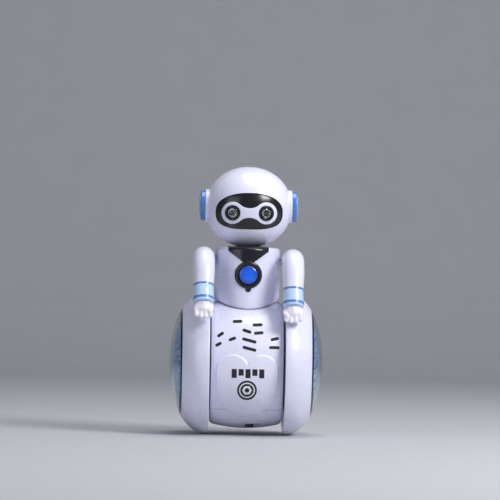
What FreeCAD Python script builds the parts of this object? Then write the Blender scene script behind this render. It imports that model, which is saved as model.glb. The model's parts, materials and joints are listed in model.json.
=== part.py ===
import FreeCAD, Part
import math
import os
import re
import Sketcher

# A two-wheeled balancing toy robot, in millimetres. X runs along the wheel axle, the robot
# faces -Y and +Z is up. The origin is on the floor, midway between the wheels.

SIZES = {
    # wheels
    "wheel_radius": 30.0, "wheel_inner_x": 15.7, "wheel_depth": 16.3, "wheel_power": 2.15,
    "rim_depth": 11.2, "wheel_wall": 1.5, "web_thickness": 1.6, "cap_wall": 1.0, "cap_gap": 0.15,
    "insert_wall": 0.8, "hub_radius": 4.0, "hub_end_x": 24.0, "axle_radius": 1.5,
    # barrel
    "barrel_half_width": 15.0, "barrel_radius": 27.3, "barrel_end_radius": 25.3,
    "barrel_crown_radius": 57.25, "barrel_wall": 1.4, "cover_seam_z": 10.4, "shell_gap": 0.1,
    "heart_lobe_radius": 6.7, "heart_lobe_x": 6.13, "heart_top_z": 33.3, "heart_side_z": 21.0,
    "heart_waist_x": 8.0, "heart_tip_z": 7.0, "heart_height": 0.45,
    "slot_width": 1.2, "bushing_radius": 2.6, "bushing_clearance": 0.06, "bushing_out_x": 15.4,
    # torso
    "torso_half_width": 13.5, "torso_half_depth": 16.0, "torso_wall": 1.4, "torso_top_z": 78.9,
    "torso_dome_radius": 60.0, "torso_edge_radius": 2.2, "torso_seam_y": -5.4,
    "torso_groove": 0.8, "collar_height": 0.3, "collar_depth": 0.6, "collar_top_x": 8.4,
    "collar_foot_x": 2.4, "collar_foot_z": 72.4,
    # chest button
    "button_z": 67.0, "button_radius": 3.85, "button_clearance": 0.1, "bezel_radius": 5.75,
    "bezel_height": 0.8, "button_height": 1.1, "button_travel": 1.2, "bezel_back_y": -14.4,
    "flange_radius": 4.7, "flange_thickness": 1.1, "button_stem_radius": 1.5,
    # electronics
    "board_front_y": -7.0, "board_thickness": 1.6, "board_half_width": 8.0, "board_low_z": 58.6,
    "board_high_z": 76.0, "switch_side": 6.0, "switch_height": 2.9,
    "speaker_radius": 10.0, "speaker_depth": 4.2, "speaker_face": 22.6, "speaker_angle": 25.5,
    "cell_radius": 5.8, "cell_length": 5.4, "cell_axis_z": 14.6, "tray_wall": 1.0,
    "ballast_inner_y": 7.4, "ballast_half_width": 12.0, "ballast_radius": 24.2,
    "ballast_top_z": 21.8, "contact_thickness": 0.4,
    # power switch
    "power_angle": 20.0, "power_x": 3.0, "power_slot_length": 7.0, "power_slot_width": 2.6,
    "power_knob_length": 3.4, "switch_face": 24.6, "power_travel": 2.6, "power_knob_out": 0.7,
    # gear train
    "gear_module": 0.4, "gear_backlash": 0.14, "gear_width": 2.0, "gear_pitch_x": 2.5,
    "first_gear_x": -5.2, "axle_teeth": 36.0, "wheel_teeth": 32.0, "pinion_teeth": 10.0,
    "pin_radius": 0.75, "pin_clearance": 0.06, "motor_y": 14.0, "motor_x": -1.5,
    "motor_length": 14.0, "motor_width": 12.0, "motor_height": 10.0,
    "plate_thickness": 1.0, "plate_left_x": -2.5, "plate_right_x": -11.8,
    "plate_front_y": -8.0, "plate_back_y": 20.5, "plate_low_z": 22.1, "plate_high_z": 43.5,
    # neck and head
    "neck_ring_radius": 8.0, "neck_ring_low_z": 77.6, "neck_ring_high_z": 78.75,
    "neck_stem_radius": 5.0, "neck_flange_radius": 6.6, "neck_flange_low_z": 83.4,
    "neck_top_z": 85.0, "neck_bore_radius": 2.5, "neck_clearance": 0.1,
    "head_radius": 18.1, "head_half_height": 16.85, "head_z": 95.45, "head_top_power": 2.85,
    "head_low_power": 2.4, "head_wall": 1.5, "collar_low_z": 81.2, "collar_high_z": 83.2,
    "mask_half_width": 14.0, "mask_up": 7.8, "mask_down": 7.4, "mask_z": 93.3,
    "mask_up_power": 2.25, "mask_down_power": 2.9, "mask_recess": 0.4, "mask_wall": 1.2,
    "eye_x": 7.0, "eye_z": 92.7, "lobe_radius": 4.6, "bridge_half_height": 2.0,
    "goggle_height": 0.25, "eye_ring_radius": 3.2, "lens_radius": 2.35, "eye_ring_height": 0.5,
    "led_radius": 1.5, "ear_z": 95.8, "ear_boss_radius": 7.5, "ear_boss_x": 18.2,
    "ear_disc_radius": 7.1, "ear_disc_x": 20.1, "ear_cap_radius": 5.2, "ear_cap_x": 20.8,
    # arms
    "arm_x": 18.6, "arm_radius": 4.7, "shoulder_z": 73.2, "elbow_y": -13.0, "elbow_z": 74.0,
    "wrist_y": -20.6, "wrist_z": 60.2, "tip_y": -27.0, "tip_z": 49.6, "wrist_radius": 3.5,
    "cuff_top_radius": 4.25, "cuff_foot_radius": 4.85, "cuff_length": 8.0, "cuff_start": 8.2,
    "shoulder_pin_radius": 2.0, "shoulder_pin_in_x": 10.4, "shoulder_pin_out_x": 19.2,
    "shoulder_face_x": 13.85, "arm_clearance": 0.08, "right_arm_lift": 3.5,
    # screws
    "screw_radius": 0.9, "screw_head_radius": 1.7, "screw_head_height": 1.2, "boss_radius": 2.1,
    "counterbore_radius": 1.8, "barrel_screw_x": 9.0, "barrel_screw_z": 47.6, "barrel_screw_y": 10.0,
    "torso_screw_x": 10.4, "torso_screw_z": 62.0, "torso_screw_y": 8.0,
    "head_screw_x": 9.4, "head_screw_z": 84.9, "head_screw_y": 8.5,
    "cover_screw_x": 9.0, "cover_screw_y": 13.5, "cover_screw_z": 7.0, "cover_boss_z": 9.8,
    "cover_boss_radius": 2.6,
}

# Speaker slots: centre X, centre Z, overall length and slope in degrees.
SPEAKER_SLOTS = (
    (-4.3, 47.2, 4.0, 3), (4.0, 45.9, 4.2, 3), (-0.4, 43.2, 3.8, -17), (4.5, 42.5, 4.0, 6),
    (0.6, 39.4, 6.1, -14), (0.7, 35.9, 5.9, -14), (-11.3, 41.6, 3.2, 35), (-6.4, 39.9, 3.2, 22),
    (-12.1, 37.5, 2.9, 30), (11.2, 40.1, 3.6, 12), (11.0, 36.5, 4.4, 0),
)

doc = FreeCAD.newDocument("BalancingRobot")
sheet = doc.addObject("Spreadsheet::Sheet", "Sizes")
for row, (alias, value) in enumerate(SIZES.items(), 1):
    sheet.set(f"A{row}", alias)
    sheet.set(f"B{row}", str(value))
    sheet.setAlias(f"B{row}", alias)
doc.recompute()

sub_parts = []


def vec(x, y, z):
    return FreeCAD.Vector(x, y, z)


def number(expression):
    """The value in millimetres or degrees of an expression over the sheet's aliases."""
    return float(sheet.evalExpression(str(expression)))


def bound(expression):
    """The same expression as other objects of the document have to write it."""
    return re.sub(r"\b([a-z]+(?:_[a-z]+)+)\b", r"Sizes.\1", str(expression))


def bind(item, **expressions):
    for name, expression in expressions.items():
        item.setExpression(name, bound(expression))


def place(item, x=0, y=0, z=0, turn=None):
    item.Placement = FreeCAD.Placement(vec(0, 0, 0), turn or FreeCAD.Rotation())
    for axis, expression in (("x", x), ("y", y), ("z", z)):
        item.setExpression(f".Placement.Base.{axis}", bound(expression))


ALONG = {
    "X": FreeCAD.Rotation(vec(0, 1, 0), 90),
    "Y": FreeCAD.Rotation(vec(1, 0, 0), -90),
    "Z": FreeCAD.Rotation(),
}


def rod(name, axis, radius, length, x=0, y=0, z=0):
    """A cylinder that starts at x, y, z and runs along the positive axis."""
    item = doc.addObject("Part::Cylinder", name)
    bind(item, Radius=radius, Height=length)
    place(item, x, y, z, ALONG[axis])
    return item


def block(name, length, width, height, x=0, y=0, z=0):
    item = doc.addObject("Part::Box", name)
    bind(item, Length=length, Width=width, Height=height)
    place(item, x, y, z)
    return item


def fuse(name, *pieces):
    item = doc.addObject("Part::MultiFuse", name)
    item.Shapes = list(pieces)
    return item


def group(name, *pieces):
    item = doc.addObject("Part::Compound", name)
    item.Links = list(pieces)
    return item


def cut(name, base, *tools):
    item = doc.addObject("Part::Cut", name)
    item.Base = base
    item.Tool = tools[0] if len(tools) == 1 else fuse(name + "_tools", *tools)
    return item


def common(name, first, second):
    item = doc.addObject("Part::Common", name)
    item.Base = first
    item.Tool = second
    return item


def mirrored(name, source):
    item = doc.addObject("Part::Mirroring", name)
    item.Source = source
    item.Normal = vec(1, 0, 0)
    return item


def feature(name, shape):
    item = doc.addObject("Part::Feature", name)
    item.Shape = shape
    return item


def sub_part(label, item):
    item.Label = label
    sub_parts.append(item)
    return item


def new_body(name, x=0, y=0, z=0):
    body = doc.addObject("PartDesign::Body", name)
    place(body, x, y, z)
    return body


def outline(body, plane, corners, arcs=None):
    """A closed sketch through corners, each a pair of expressions. arcs maps a side's number to
    its radius, and its centre is on the left of the way the side runs."""
    sketch = body.newObject("Sketcher::SketchObject", body.Name + "Outline")
    role = next(f for f in body.Origin.OriginFeatures if f.Role == plane)
    sketch.AttachmentSupport = [(role, "")]
    sketch.MapMode = "FlatFace"
    arcs = arcs or {}
    spots = [vec(number(a), number(b), 0) for a, b in corners]
    count = len(spots)
    for side in range(count):
        start, end = spots[side], spots[(side + 1) % count]
        if side in arcs:
            radius = number(arcs[side])
            chord = end - start
            middle = (start + end) * 0.5
            rise = math.sqrt(radius ** 2 - (chord.Length / 2) ** 2)
            centre = middle + vec(-chord.y, chord.x, 0).normalize() * rise
            first = math.atan2(start.y - centre.y, start.x - centre.x)
            last = math.atan2(end.y - centre.y, end.x - centre.x)
            sketch.addGeometry(Part.ArcOfCircle(Part.Circle(centre, vec(0, 0, 1), radius), first, last))
        else:
            sketch.addGeometry(Part.LineSegment(start, end))
    for side in range(count):
        sketch.addConstraint(Sketcher.Constraint("Coincident", side, 2, (side + 1) % count, 1))
    for side, (across, up) in enumerate(corners):
        for kind, expression, axis in (("DistanceX", across, -2), ("DistanceY", up, -1)):
            if number(expression) == 0:
                sketch.addConstraint(Sketcher.Constraint("PointOnObject", side, 1, axis))
                continue
            made = sketch.addConstraint(Sketcher.Constraint(kind, -1, 1, side, 1, number(expression)))
            sketch.setExpression(f"Constraints[{made}]", bound(expression))
    for side, radius in arcs.items():
        made = sketch.addConstraint(Sketcher.Constraint("Radius", side, number(radius)))
        sketch.setExpression(f"Constraints[{made}]", bound(radius))
    return sketch


def revolved(body, corners, arcs=None):
    """A revolution about the body's own X axis of an outline in its XZ plane."""
    sketch = outline(body, "XZ_Plane", corners, arcs)
    turn = body.newObject("PartDesign::Revolution", body.Name + "Turn")
    turn.Profile = sketch
    turn.ReferenceAxis = (sketch, ["H_Axis"])
    turn.Angle = 360
    return body


def padded(body, plane, corners, length, arcs=None):
    sketch = outline(body, plane, corners, arcs)
    pad = body.newObject("PartDesign::Pad", body.Name + "Pad")
    pad.Profile = sketch
    pad.setExpression("Length", bound(length))
    return body


def superellipse(a, b, power, steps=8):
    """Quarter curve from (a, 0) to (0, b), as pairs."""
    angles = [math.pi / 2 * k / steps for k in range(steps + 1)]
    return [(a * max(math.cos(t), 0) ** (2 / power), b * math.sin(t) ** (2 / power)) for t in angles]


def quarter_edge(pairs, to_point, start_along, end_along):
    curve = Part.BSplineCurve()
    curve.interpolate(Points=[to_point(a, b) for a, b in pairs],
                      InitialTangent=to_point(*start_along) - to_point(0, 0),
                      FinalTangent=to_point(*end_along) - to_point(0, 0))
    return curve.toShape()


# ---------------------------------------------------------------- wheels

AXLE_Z = "wheel_radius"


def dome(depth, radius, start=0.0):
    """A solid wheel-shaped dome about the axle, from start to depth outside the wheel's face."""
    inner_x, axle = number("wheel_inner_x"), number(AXLE_Z)
    to_point = lambda a, b: vec(inner_x + a, 0, axle + b)
    edge = quarter_edge(superellipse(depth, radius, number("wheel_power")), to_point, (0, 1), (-1, 0))
    top, foot, tip = to_point(0, radius), to_point(0, 0), to_point(depth, 0)
    wire = Part.Wire([edge, Part.makeLine(top, foot), Part.makeLine(foot, tip)])
    solid = Part.Face(wire).revolve(vec(0, 0, axle), vec(1, 0, 0), 360)
    keep = Part.makeBox(100, 100, 100, vec(inner_x + start, -50, axle - 50))
    return solid.common(keep)


def ring_solid(outer, inner, start, end):
    """A tube about the axle between two places outside the wheel's inner face."""
    base = vec(number("wheel_inner_x") + start, 0, number(AXLE_Z))
    tube = Part.makeCylinder(outer, end - start, base, vec(1, 0, 0))
    return tube.cut(Part.makeCylinder(inner, end - start, base, vec(1, 0, 0)))


def make_wheels():
    depth, radius = number("wheel_depth"), number("wheel_radius")
    wall, rim = number("wheel_wall"), number("rim_depth")
    web, cap, gap = number("web_thickness"), number("cap_wall"), number("cap_gap")
    inner_x, skin = number("wheel_inner_x"), number("insert_wall")
    drum = dome(depth, radius).cut(dome(depth - wall, radius - wall, web))
    drum = drum.common(ring_solid(radius + 1, number("axle_radius"), 0, rim))
    hub = ring_solid(number("hub_radius"), number("axle_radius"), 0, number("hub_end_x") - inner_x)
    ribs = [ring_solid(22.0, 20.8, 0, 5.0), ring_solid(10.0, 8.8, 0, 6.0)]
    drum = drum.fuse([hub] + ribs).removeSplitter()
    shell = dome(depth, radius, rim + gap).cut(dome(depth - cap, radius - cap))
    inset = cap + 0.3
    insert = dome(depth - inset, radius - inset, rim).cut(dome(depth - inset - skin, radius - inset - skin))
    for label, shape in (("wheel_drum", drum), ("wheel_insert", insert), ("wheel_cap", shell)):
        left = sub_part("left_" + label, feature("Left" + label, shape))
        sub_part("right_" + label, mirrored("Right" + label, left))
    sub_part("axle", rod("Axle", "X", "axle_radius", "2 * hub_end_x - 0.4", "-hub_end_x + 0.2", 0, AXLE_Z))


# ---------------------------------------------------------------- barrel

def barrel(name, grow=0, inset=0):
    """The crowned barrel about the axle as one solid, grown outwards by grow."""
    body = new_body(name, 0, 0, AXLE_Z)
    half = f"barrel_half_width - {inset}"
    end = f"barrel_end_radius + {grow}"
    return revolved(body, [(f"-({half})", 0), (half, 0), (half, end), (f"-({half})", end)],
                    {2: f"barrel_crown_radius + {grow}"})


def heart_prism(name, grow=0.0):
    """The heart outline, from the front of the barrel to its middle plane."""
    lobe, lobe_x = number("heart_lobe_radius") + grow, number("heart_lobe_x")
    lobe_z = number("heart_top_z") - number("heart_lobe_radius")
    notch_z = lobe_z + math.sqrt(lobe ** 2 - lobe_x ** 2)
    side_x, side_z = lobe_x + lobe, number("heart_side_z")
    waist_x, seam_z = number("heart_waist_x") + grow, number("cover_seam_z")
    tip_z, y = number("heart_tip_z") - grow, -40
    points = {
        "notch": vec(0, y, notch_z), "top": vec(lobe_x, y, lobe_z + lobe), "side": vec(side_x, y, lobe_z),
        "low": vec(side_x, y, side_z), "waist": vec(waist_x, y, seam_z), "tip": vec(0, y, tip_z),
        "flank": vec(side_x - 0.9, y, 14.8), "chin": vec(waist_x * 0.55, y, tip_z + 0.8),
    }
    crest = vec(lobe_x + lobe * math.cos(1.0), y, lobe_z + lobe * math.sin(1.0))
    half = [Part.Arc(points["notch"], points["top"], crest).toShape(),
            Part.Arc(crest, vec(lobe_x + lobe * math.cos(0.5), y, lobe_z + lobe * math.sin(0.5)),
                     points["side"]).toShape(),
            Part.makeLine(points["side"], points["low"]),
            Part.Arc(points["low"], points["flank"], points["waist"]).toShape(),
            Part.Arc(points["waist"], points["chin"], points["tip"]).toShape()]
    other = [edge.mirror(vec(0, 0, 0), vec(1, 0, 0)) for edge in half]
    wire = Part.Wire(Part.__sortEdges__(half + other))
    return feature(name, Part.Face(wire).extrude(vec(0, 40, 0)))


def slot_cutter(name):
    """All speaker slots as prisms through the front wall."""
    width = number("slot_width")
    prisms = []
    for x, z, length, slope in SPEAKER_SLOTS:
        run = length - width
        bar = Part.makeBox(run, 12, width, vec(-run / 2, 0, -width / 2))
        ends = [Part.makeCylinder(width / 2, 12, vec(side * run / 2, 0, 0), vec(0, 1, 0)) for side in (-1, 1)]
        prism = bar.fuse(ends).removeSplitter()
        prism.rotate(vec(0, 0, 0), vec(0, 1, 0), -slope)
        prism.translate(vec(x, -29, z))
        prisms.append(prism)
    return feature(name, Part.makeCompound(prisms))


def torso_prism(name, grow, low, high):
    """The torso's elliptical plan as a solid between two heights."""
    ring = doc.addObject("Part::Ellipse", name + "Plan")
    bind(ring, MajorRadius=f"torso_half_depth + {grow}", MinorRadius=f"torso_half_width + {grow}")
    place(ring, 0, 0, low, FreeCAD.Rotation(vec(0, 0, 1), 90))
    solid = doc.addObject("Part::Extrusion", name)
    solid.Base = ring
    solid.DirMode = "Custom"
    solid.Dir = vec(0, 0, 1)
    solid.Solid = True
    solid.setExpression("LengthFwd", bound(f"{high} - ({low})"))
    return solid


def half_space(name, side, edge="0"):
    """A large block on one side of a plane: front, rear, low or high."""
    reach = 200
    corner = {
        "front": (-100, f"{edge} - {reach}", -40), "rear": (-100, edge, -40),
        "low": (-100, -100, f"{edge} - {reach}"), "high": (-100, -100, edge),
    }[side]
    return block(name, reach, reach, reach, *corner)


def make_barrel():
    outside = barrel("BarrelOutside")
    inside = barrel("BarrelInside", "-barrel_wall", "barrel_wall")
    wall = cut("BarrelWall", outside, inside)
    bore = rod("BushingBore", "X", "bushing_radius", 60, -30, 0, AXLE_Z)
    wire_hole = rod("WireHole", "Z", 5, 30, 0, 0, 45)
    wall = cut("BarrelBored", wall, bore, wire_hole)
    upper = half_space("AboveSeam", "high", "cover_seam_z")
    heart = heart_prism("HeartOutline")
    front_region = common("FrontRegion", fuse("FrontReach", upper, heart), half_space("Front", "front"))
    relief = common("HeartRelief", barrel("HeartSkin", "heart_height"), heart_prism("HeartOutlineRaised"))
    relief = cut("HeartReliefSkin", relief, barrel("HeartBack"))
    split = 4.0
    fronts, rears, front_bores, rear_bores = boss_pair("barrel", -30, split, 30)
    limit = barrel("BarrelBossLimit", "-barrel_wall / 2", "barrel_wall / 2")
    front_posts = common("FrontPosts", feature("FrontPostRods", Part.makeCompound(fronts)), limit)
    rear_posts = common("RearPosts", feature("RearPostRods", Part.makeCompound(rears)), limit)
    front = fuse("FrontWall", common("FrontPlain", wall, front_region), relief, front_posts)
    sub_part("barrel_front_shell", cut("BarrelFront", front, slot_cutter("SpeakerSlots"),
                                       feature("FrontBores", Part.makeCompound(front_bores))))
    rear_region = common("RearRegion", half_space("AboveSeamRear", "high", "cover_seam_z"),
                         half_space("Rear", "rear"))
    rear = fuse("RearWall", common("RearPlain", wall, rear_region), rear_posts)
    sub_part("barrel_rear_shell", cut("BarrelRear", rear, feature("RearBores", Part.makeCompound(rear_bores))))
    rear_screws("barrel", 12)
    low_region = cut("LowRegion", half_space("BelowSeam", "low", "cover_seam_z - shell_gap"),
                     heart_prism("HeartOutlineGap", number("shell_gap")))
    slot = block("PowerSlot", "power_slot_length", "power_slot_width", 12)
    drop_in_place(slot, "power_x - power_slot_length / 2", "-power_slot_width / 2", -31)
    posts, holes, cover_screws = [], [], []
    for side, x in (("Left", "cover_screw_x"), ("Right", "-cover_screw_x")):
        spot = (x, "cover_screw_y")
        posts.append(rod(f"CoverPost{side}", "Z", "cover_boss_radius", "cover_boss_z - 7.4", *spot, 7.4))
        holes.append(rod(f"CoverHead{side}", "Z", "counterbore_radius", "cover_screw_z + screw_head_height", *spot))
        holes.append(rod(f"CoverShank{side}", "Z", "screw_radius + 0.05", 14, *spot))
        cover_screws.append(screw(f"CoverScrew{side}", "Z", *spot, "cover_screw_z", 7.5))
    cover = fuse("CoverWhole", common("CoverPlain", wall, low_region), *posts)
    sub_part("bottom_cover", cut("BottomCover", cover, slot, *holes))
    sub_part("bottom_cover_screws", group("CoverScrews", *cover_screws))
    bushings = []
    for side, x in (("Left", "barrel_half_width - barrel_wall"), ("Right", "-bushing_out_x")):
        length = "bushing_out_x - barrel_half_width + barrel_wall"
        sleeve = rod(f"Bushing{side}", "X", "bushing_radius", length, x, 0, AXLE_Z)
        hole = rod(f"Bushing{side}Bore", "X", "axle_radius + bushing_clearance", length, x, 0, AXLE_Z)
        bushings.append(cut(f"Bushing{side}Sleeve", sleeve, hole))
    sub_part("axle_bushings", group("Bushings", *bushings))


def drop_in_place(item, x, y, z):
    """Places an item given in the power switch's own tilted frame, whose origin is the axle."""
    angle = number("power_angle")
    tilt = FreeCAD.Rotation(vec(1, 0, 0), -angle)
    spot = tilt.multVec(vec(number(x), number(y), number(z)))
    for axis in "xyz":
        item.setExpression(f".Placement.Base.{axis}", None)
    item.Placement = FreeCAD.Placement(spot + vec(0, 0, number(AXLE_Z)), tilt)


def screw(name, axis, x, y, z, length):
    """A pan-head screw seated at x, y, z. Along Z its shank points up, along Y to the front."""
    if axis == "Z":
        head = rod(name + "Head", axis, "screw_head_radius", "screw_head_height", x, y, z)
        shank = rod(name + "Shank", axis, "screw_radius", length, x, y, z)
        recess = block(name + "Slot", 2.2, 0.5, 0.5, f"{x} - 1.1", f"{y} - 0.25", f"{z} - 0.05")
    else:
        head = rod(name + "Head", axis, "screw_head_radius", "screw_head_height", x, y, z)
        shank = rod(name + "Shank", axis, "screw_radius", f"{length} + 0.1", x, f"{y} - {length}", z)
        recess = block(name + "Slot", 2.2, 0.5, 0.5, f"{x} - 1.1", f"{y} + screw_head_height - 0.45", f"{z} - 0.25")
    return cut(name, fuse(name + "Body", head, shank), recess)


def boss_pair(place_name, front_y, split_y, back_y):
    """Two screw posts, left and right, as front posts, rear posts, front bores and rear bores."""
    x, z, seat = (number(f"{place_name}_screw_{axis}") for axis in "xzy")
    post, shank, wide = number("boss_radius"), number("screw_radius"), number("counterbore_radius")
    back = vec(0, 1, 0)
    fronts, rears, front_bores, rear_bores = [], [], [], []
    for side in (-x, x):
        fronts.append(Part.makeCylinder(post, split_y - front_y, vec(side, front_y, z), back))
        rears.append(Part.makeCylinder(post + 0.6, back_y - split_y, vec(side, split_y, z), back))
        front_bores.append(Part.makeCylinder(shank, 9, vec(side, split_y - 9, z), back))
        rear_bores.append(Part.makeCylinder(shank + 0.05, 30, vec(side, split_y, z), back))
        rear_bores.append(Part.makeCylinder(wide, 40, vec(side, seat, z), back))
    return fronts, rears, front_bores, rear_bores


def rear_screws(place_name, length):
    seats = [screw(f"{place_name}Screw{side}", "Y", f"{sign}{place_name}_screw_x", f"{place_name}_screw_y",
                   f"{place_name}_screw_z", length) for side, sign in (("Left", ""), ("Right", "-"))]
    sub_part(place_name + "_screws", group(place_name + "Screws", *seats))


# ---------------------------------------------------------------- inside the barrel

def make_power_pack():
    half = "cell_length * 1.5"
    cells = [rod(f"Cell{k}", "X", "cell_radius", "cell_length - 0.05", f"cell_length * ({k} - 1.5)", 0,
                 "cell_axis_z") for k in range(3)]
    sub_part("button_cells", group("Cells", *cells))
    outer = "cell_radius + 0.15 + tray_wall"
    tray = block("TrayBlock", f"2 * ({half}) + 2.8", "2 * ballast_inner_y", "cell_radius + 2.6",
                 f"-({half}) - 1.4", "-ballast_inner_y", "cell_axis_z - 1.2")
    trough = rod("TrayTrough", "X", "cell_radius + 0.15", f"2 * ({half}) + 0.8", f"-({half}) - 0.4", 0, "cell_axis_z")
    mouth = block("TrayMouth", f"2 * ({half}) + 0.8", "2 * cell_radius + 0.3", 10,
                  f"-({half}) - 0.4", "-cell_radius - 0.15", "cell_axis_z - 10")
    sub_part("battery_tray", cut("Tray", tray, trough, mouth))
    plates = [block(f"Contact{side}", "contact_thickness - 0.05", 7, 7, x, -3.5, "cell_axis_z - 3.5")
              for side, x in (("Left", f"{half} "), ("Right", f"-({half}) - contact_thickness + 0.05"))]
    sub_part("battery_contacts", group("Contacts", *plates))
    drum = rod("BallastDrum", "X", "ballast_radius", "2 * ballast_half_width", "-ballast_half_width", 0, AXLE_Z)
    for name, y in (("Front", "-ballast_inner_y - 30"), ("Rear", "ballast_inner_y")):
        reach = block(f"BallastReach{name}", 60, 30, "ballast_top_z", -30, y, 0)
        item = common(f"Ballast{name}", drum, reach)
        if name == "Front":
            pocket = block("BallastPocket", 11.5, 7, 9)
            drop_in_place(pocket, "power_x - 5.75", -3.5, -26)
            item = cut("BallastFrontPocket", item, pocket)
        else:
            holes = []
            for side, x in (("Left", "cover_screw_x"), ("Right", "-cover_screw_x")):
                holes.append(rod(f"BallastHole{side}", "Z", "screw_radius", 16, x, "cover_screw_y", 0))
                holes.append(rod(f"BallastNotch{side}", "Z", "cover_boss_radius + 0.1", "cover_boss_z + 0.05",
                                 x, "cover_screw_y", 0))
            item = cut("BallastRearHoles", item, *holes)
        sub_part(f"ballast_{name.lower()}", item)


def make_speaker():
    """The loudspeaker faces the slots, square to a radius of the barrel."""
    angle = number("speaker_angle")
    radius, depth, face = number("speaker_radius"), number("speaker_depth"), number("speaker_face")
    basket = Part.makeCylinder(radius, 1.6, vec(0, 0, face - 1.6))
    magnet = Part.makeCylinder(radius * 0.55, depth - 1.6, vec(0, 0, face - depth))
    cone = Part.makeCone(radius * 0.4, radius * 0.85, 0.8, vec(0, 0, face - 0.8))
    shape = basket.fuse(magnet).cut(cone)
    item = feature("Speaker", shape)
    turn = FreeCAD.Rotation(vec(1, 0, 0), 90 - angle)
    item.Placement = FreeCAD.Placement(vec(0, 0, number(AXLE_Z)), turn)
    sub_part("speaker", item)


def make_power_switch():
    case = block("SwitchCase", 9.0, 4.4, 3.6)
    drop_in_place(case, "power_x - 4.5", -2.2, "-switch_face")
    groove = block("SwitchGroove", "power_slot_length", "power_slot_width", 1.6)
    drop_in_place(groove, "power_x - power_slot_length / 2", "-power_slot_width / 2", "-switch_face - 0.1")
    sub_part("slide_switch", cut("SwitchBody", case, groove))
    knob = block("PowerKnob", "power_knob_length", "power_slot_width - 0.4",
                 "barrel_radius + power_knob_out - switch_face + 1.2")
    drop_in_place(knob, "power_x - power_slot_length / 2 + 0.4", "-power_slot_width / 2 + 0.2",
                  "-barrel_radius - power_knob_out")
    sub_part("power_slider", knob)


# ---------------------------------------------------------------- gear train

def gear_shape(teeth, width, bore, turn=0.0):
    """A spur gear about Z with involute flanks, thinned for backlash."""
    module, pressure = number("gear_module"), math.radians(20)
    pitch = module * teeth / 2
    base, tip, root = pitch * math.cos(pressure), pitch + 0.85 * module, pitch - 1.2 * module
    half = (math.pi * module / 2 - number("gear_backlash")) / (2 * pitch)
    involute = lambda angle: math.tan(angle) - angle
    flank = []
    for k in range(4):
        radius = max(base, root) + (tip - max(base, root)) * k / 3
        swing = half + involute(pressure) - involute(math.acos(base / radius))
        flank.append((radius, swing))
    if root < base:
        flank.insert(0, (root, flank[0][1]))
    corners = []
    for tooth in range(int(teeth)):
        middle = turn + 2 * math.pi * tooth / teeth
        for radius, swing in flank:
            corners.append(vec(radius * math.cos(middle - swing), radius * math.sin(middle - swing), 0))
        for radius, swing in reversed(flank):
            corners.append(vec(radius * math.cos(middle + swing), radius * math.sin(middle + swing), 0))
    face = Part.Face(Part.makePolygon(corners + corners[:1]))
    solid = face.extrude(vec(0, 0, width))
    return solid.cut(Part.makeCylinder(bore, width)) if bore else solid


def gear_places():
    """Axle, first idler, second idler and motor shaft, as (y, z) with the motor level with the axle."""
    module, pinion = number("gear_module"), number("pinion_teeth")
    near = module * (number("axle_teeth") + pinion) / 2
    far = module * (number("wheel_teeth") + pinion) / 2
    axle = (0.0, number(AXLE_Z))
    lift = math.radians(75)
    first = (near * math.cos(lift), axle[1] + near * math.sin(lift))
    motor = (number("motor_y"), axle[1])
    across, up = motor[0] - first[0], motor[1] - first[1]
    gap = math.hypot(across, up)
    rise = math.sqrt(far ** 2 - (gap / 2) ** 2)
    second = ((first[0] + motor[0]) / 2 - up / gap * rise, (first[1] + motor[1]) / 2 + across / gap * rise)
    return axle, first, second, motor


def mesh_turn(place_a, teeth_a, turn_a, place_b, teeth_b):
    """The turn that puts gear b's tooth gap opposite gear a's tooth along their line of centres."""
    toward = math.atan2(place_b[1] - place_a[1], place_b[0] - place_a[0])
    phase = (toward - turn_a) / (2 * math.pi / teeth_a) % 1.0
    return toward + math.pi + (phase + 0.5) * (2 * math.pi / teeth_b)


def stand(shape, spot, x):
    """Moves a gear made about Z so that its axis runs along X through a (y, z) place."""
    shape.rotate(vec(0, 0, 0), vec(1, 1, 1), 120)
    shape.translate(vec(x, spot[0], spot[1]))
    return shape


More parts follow.
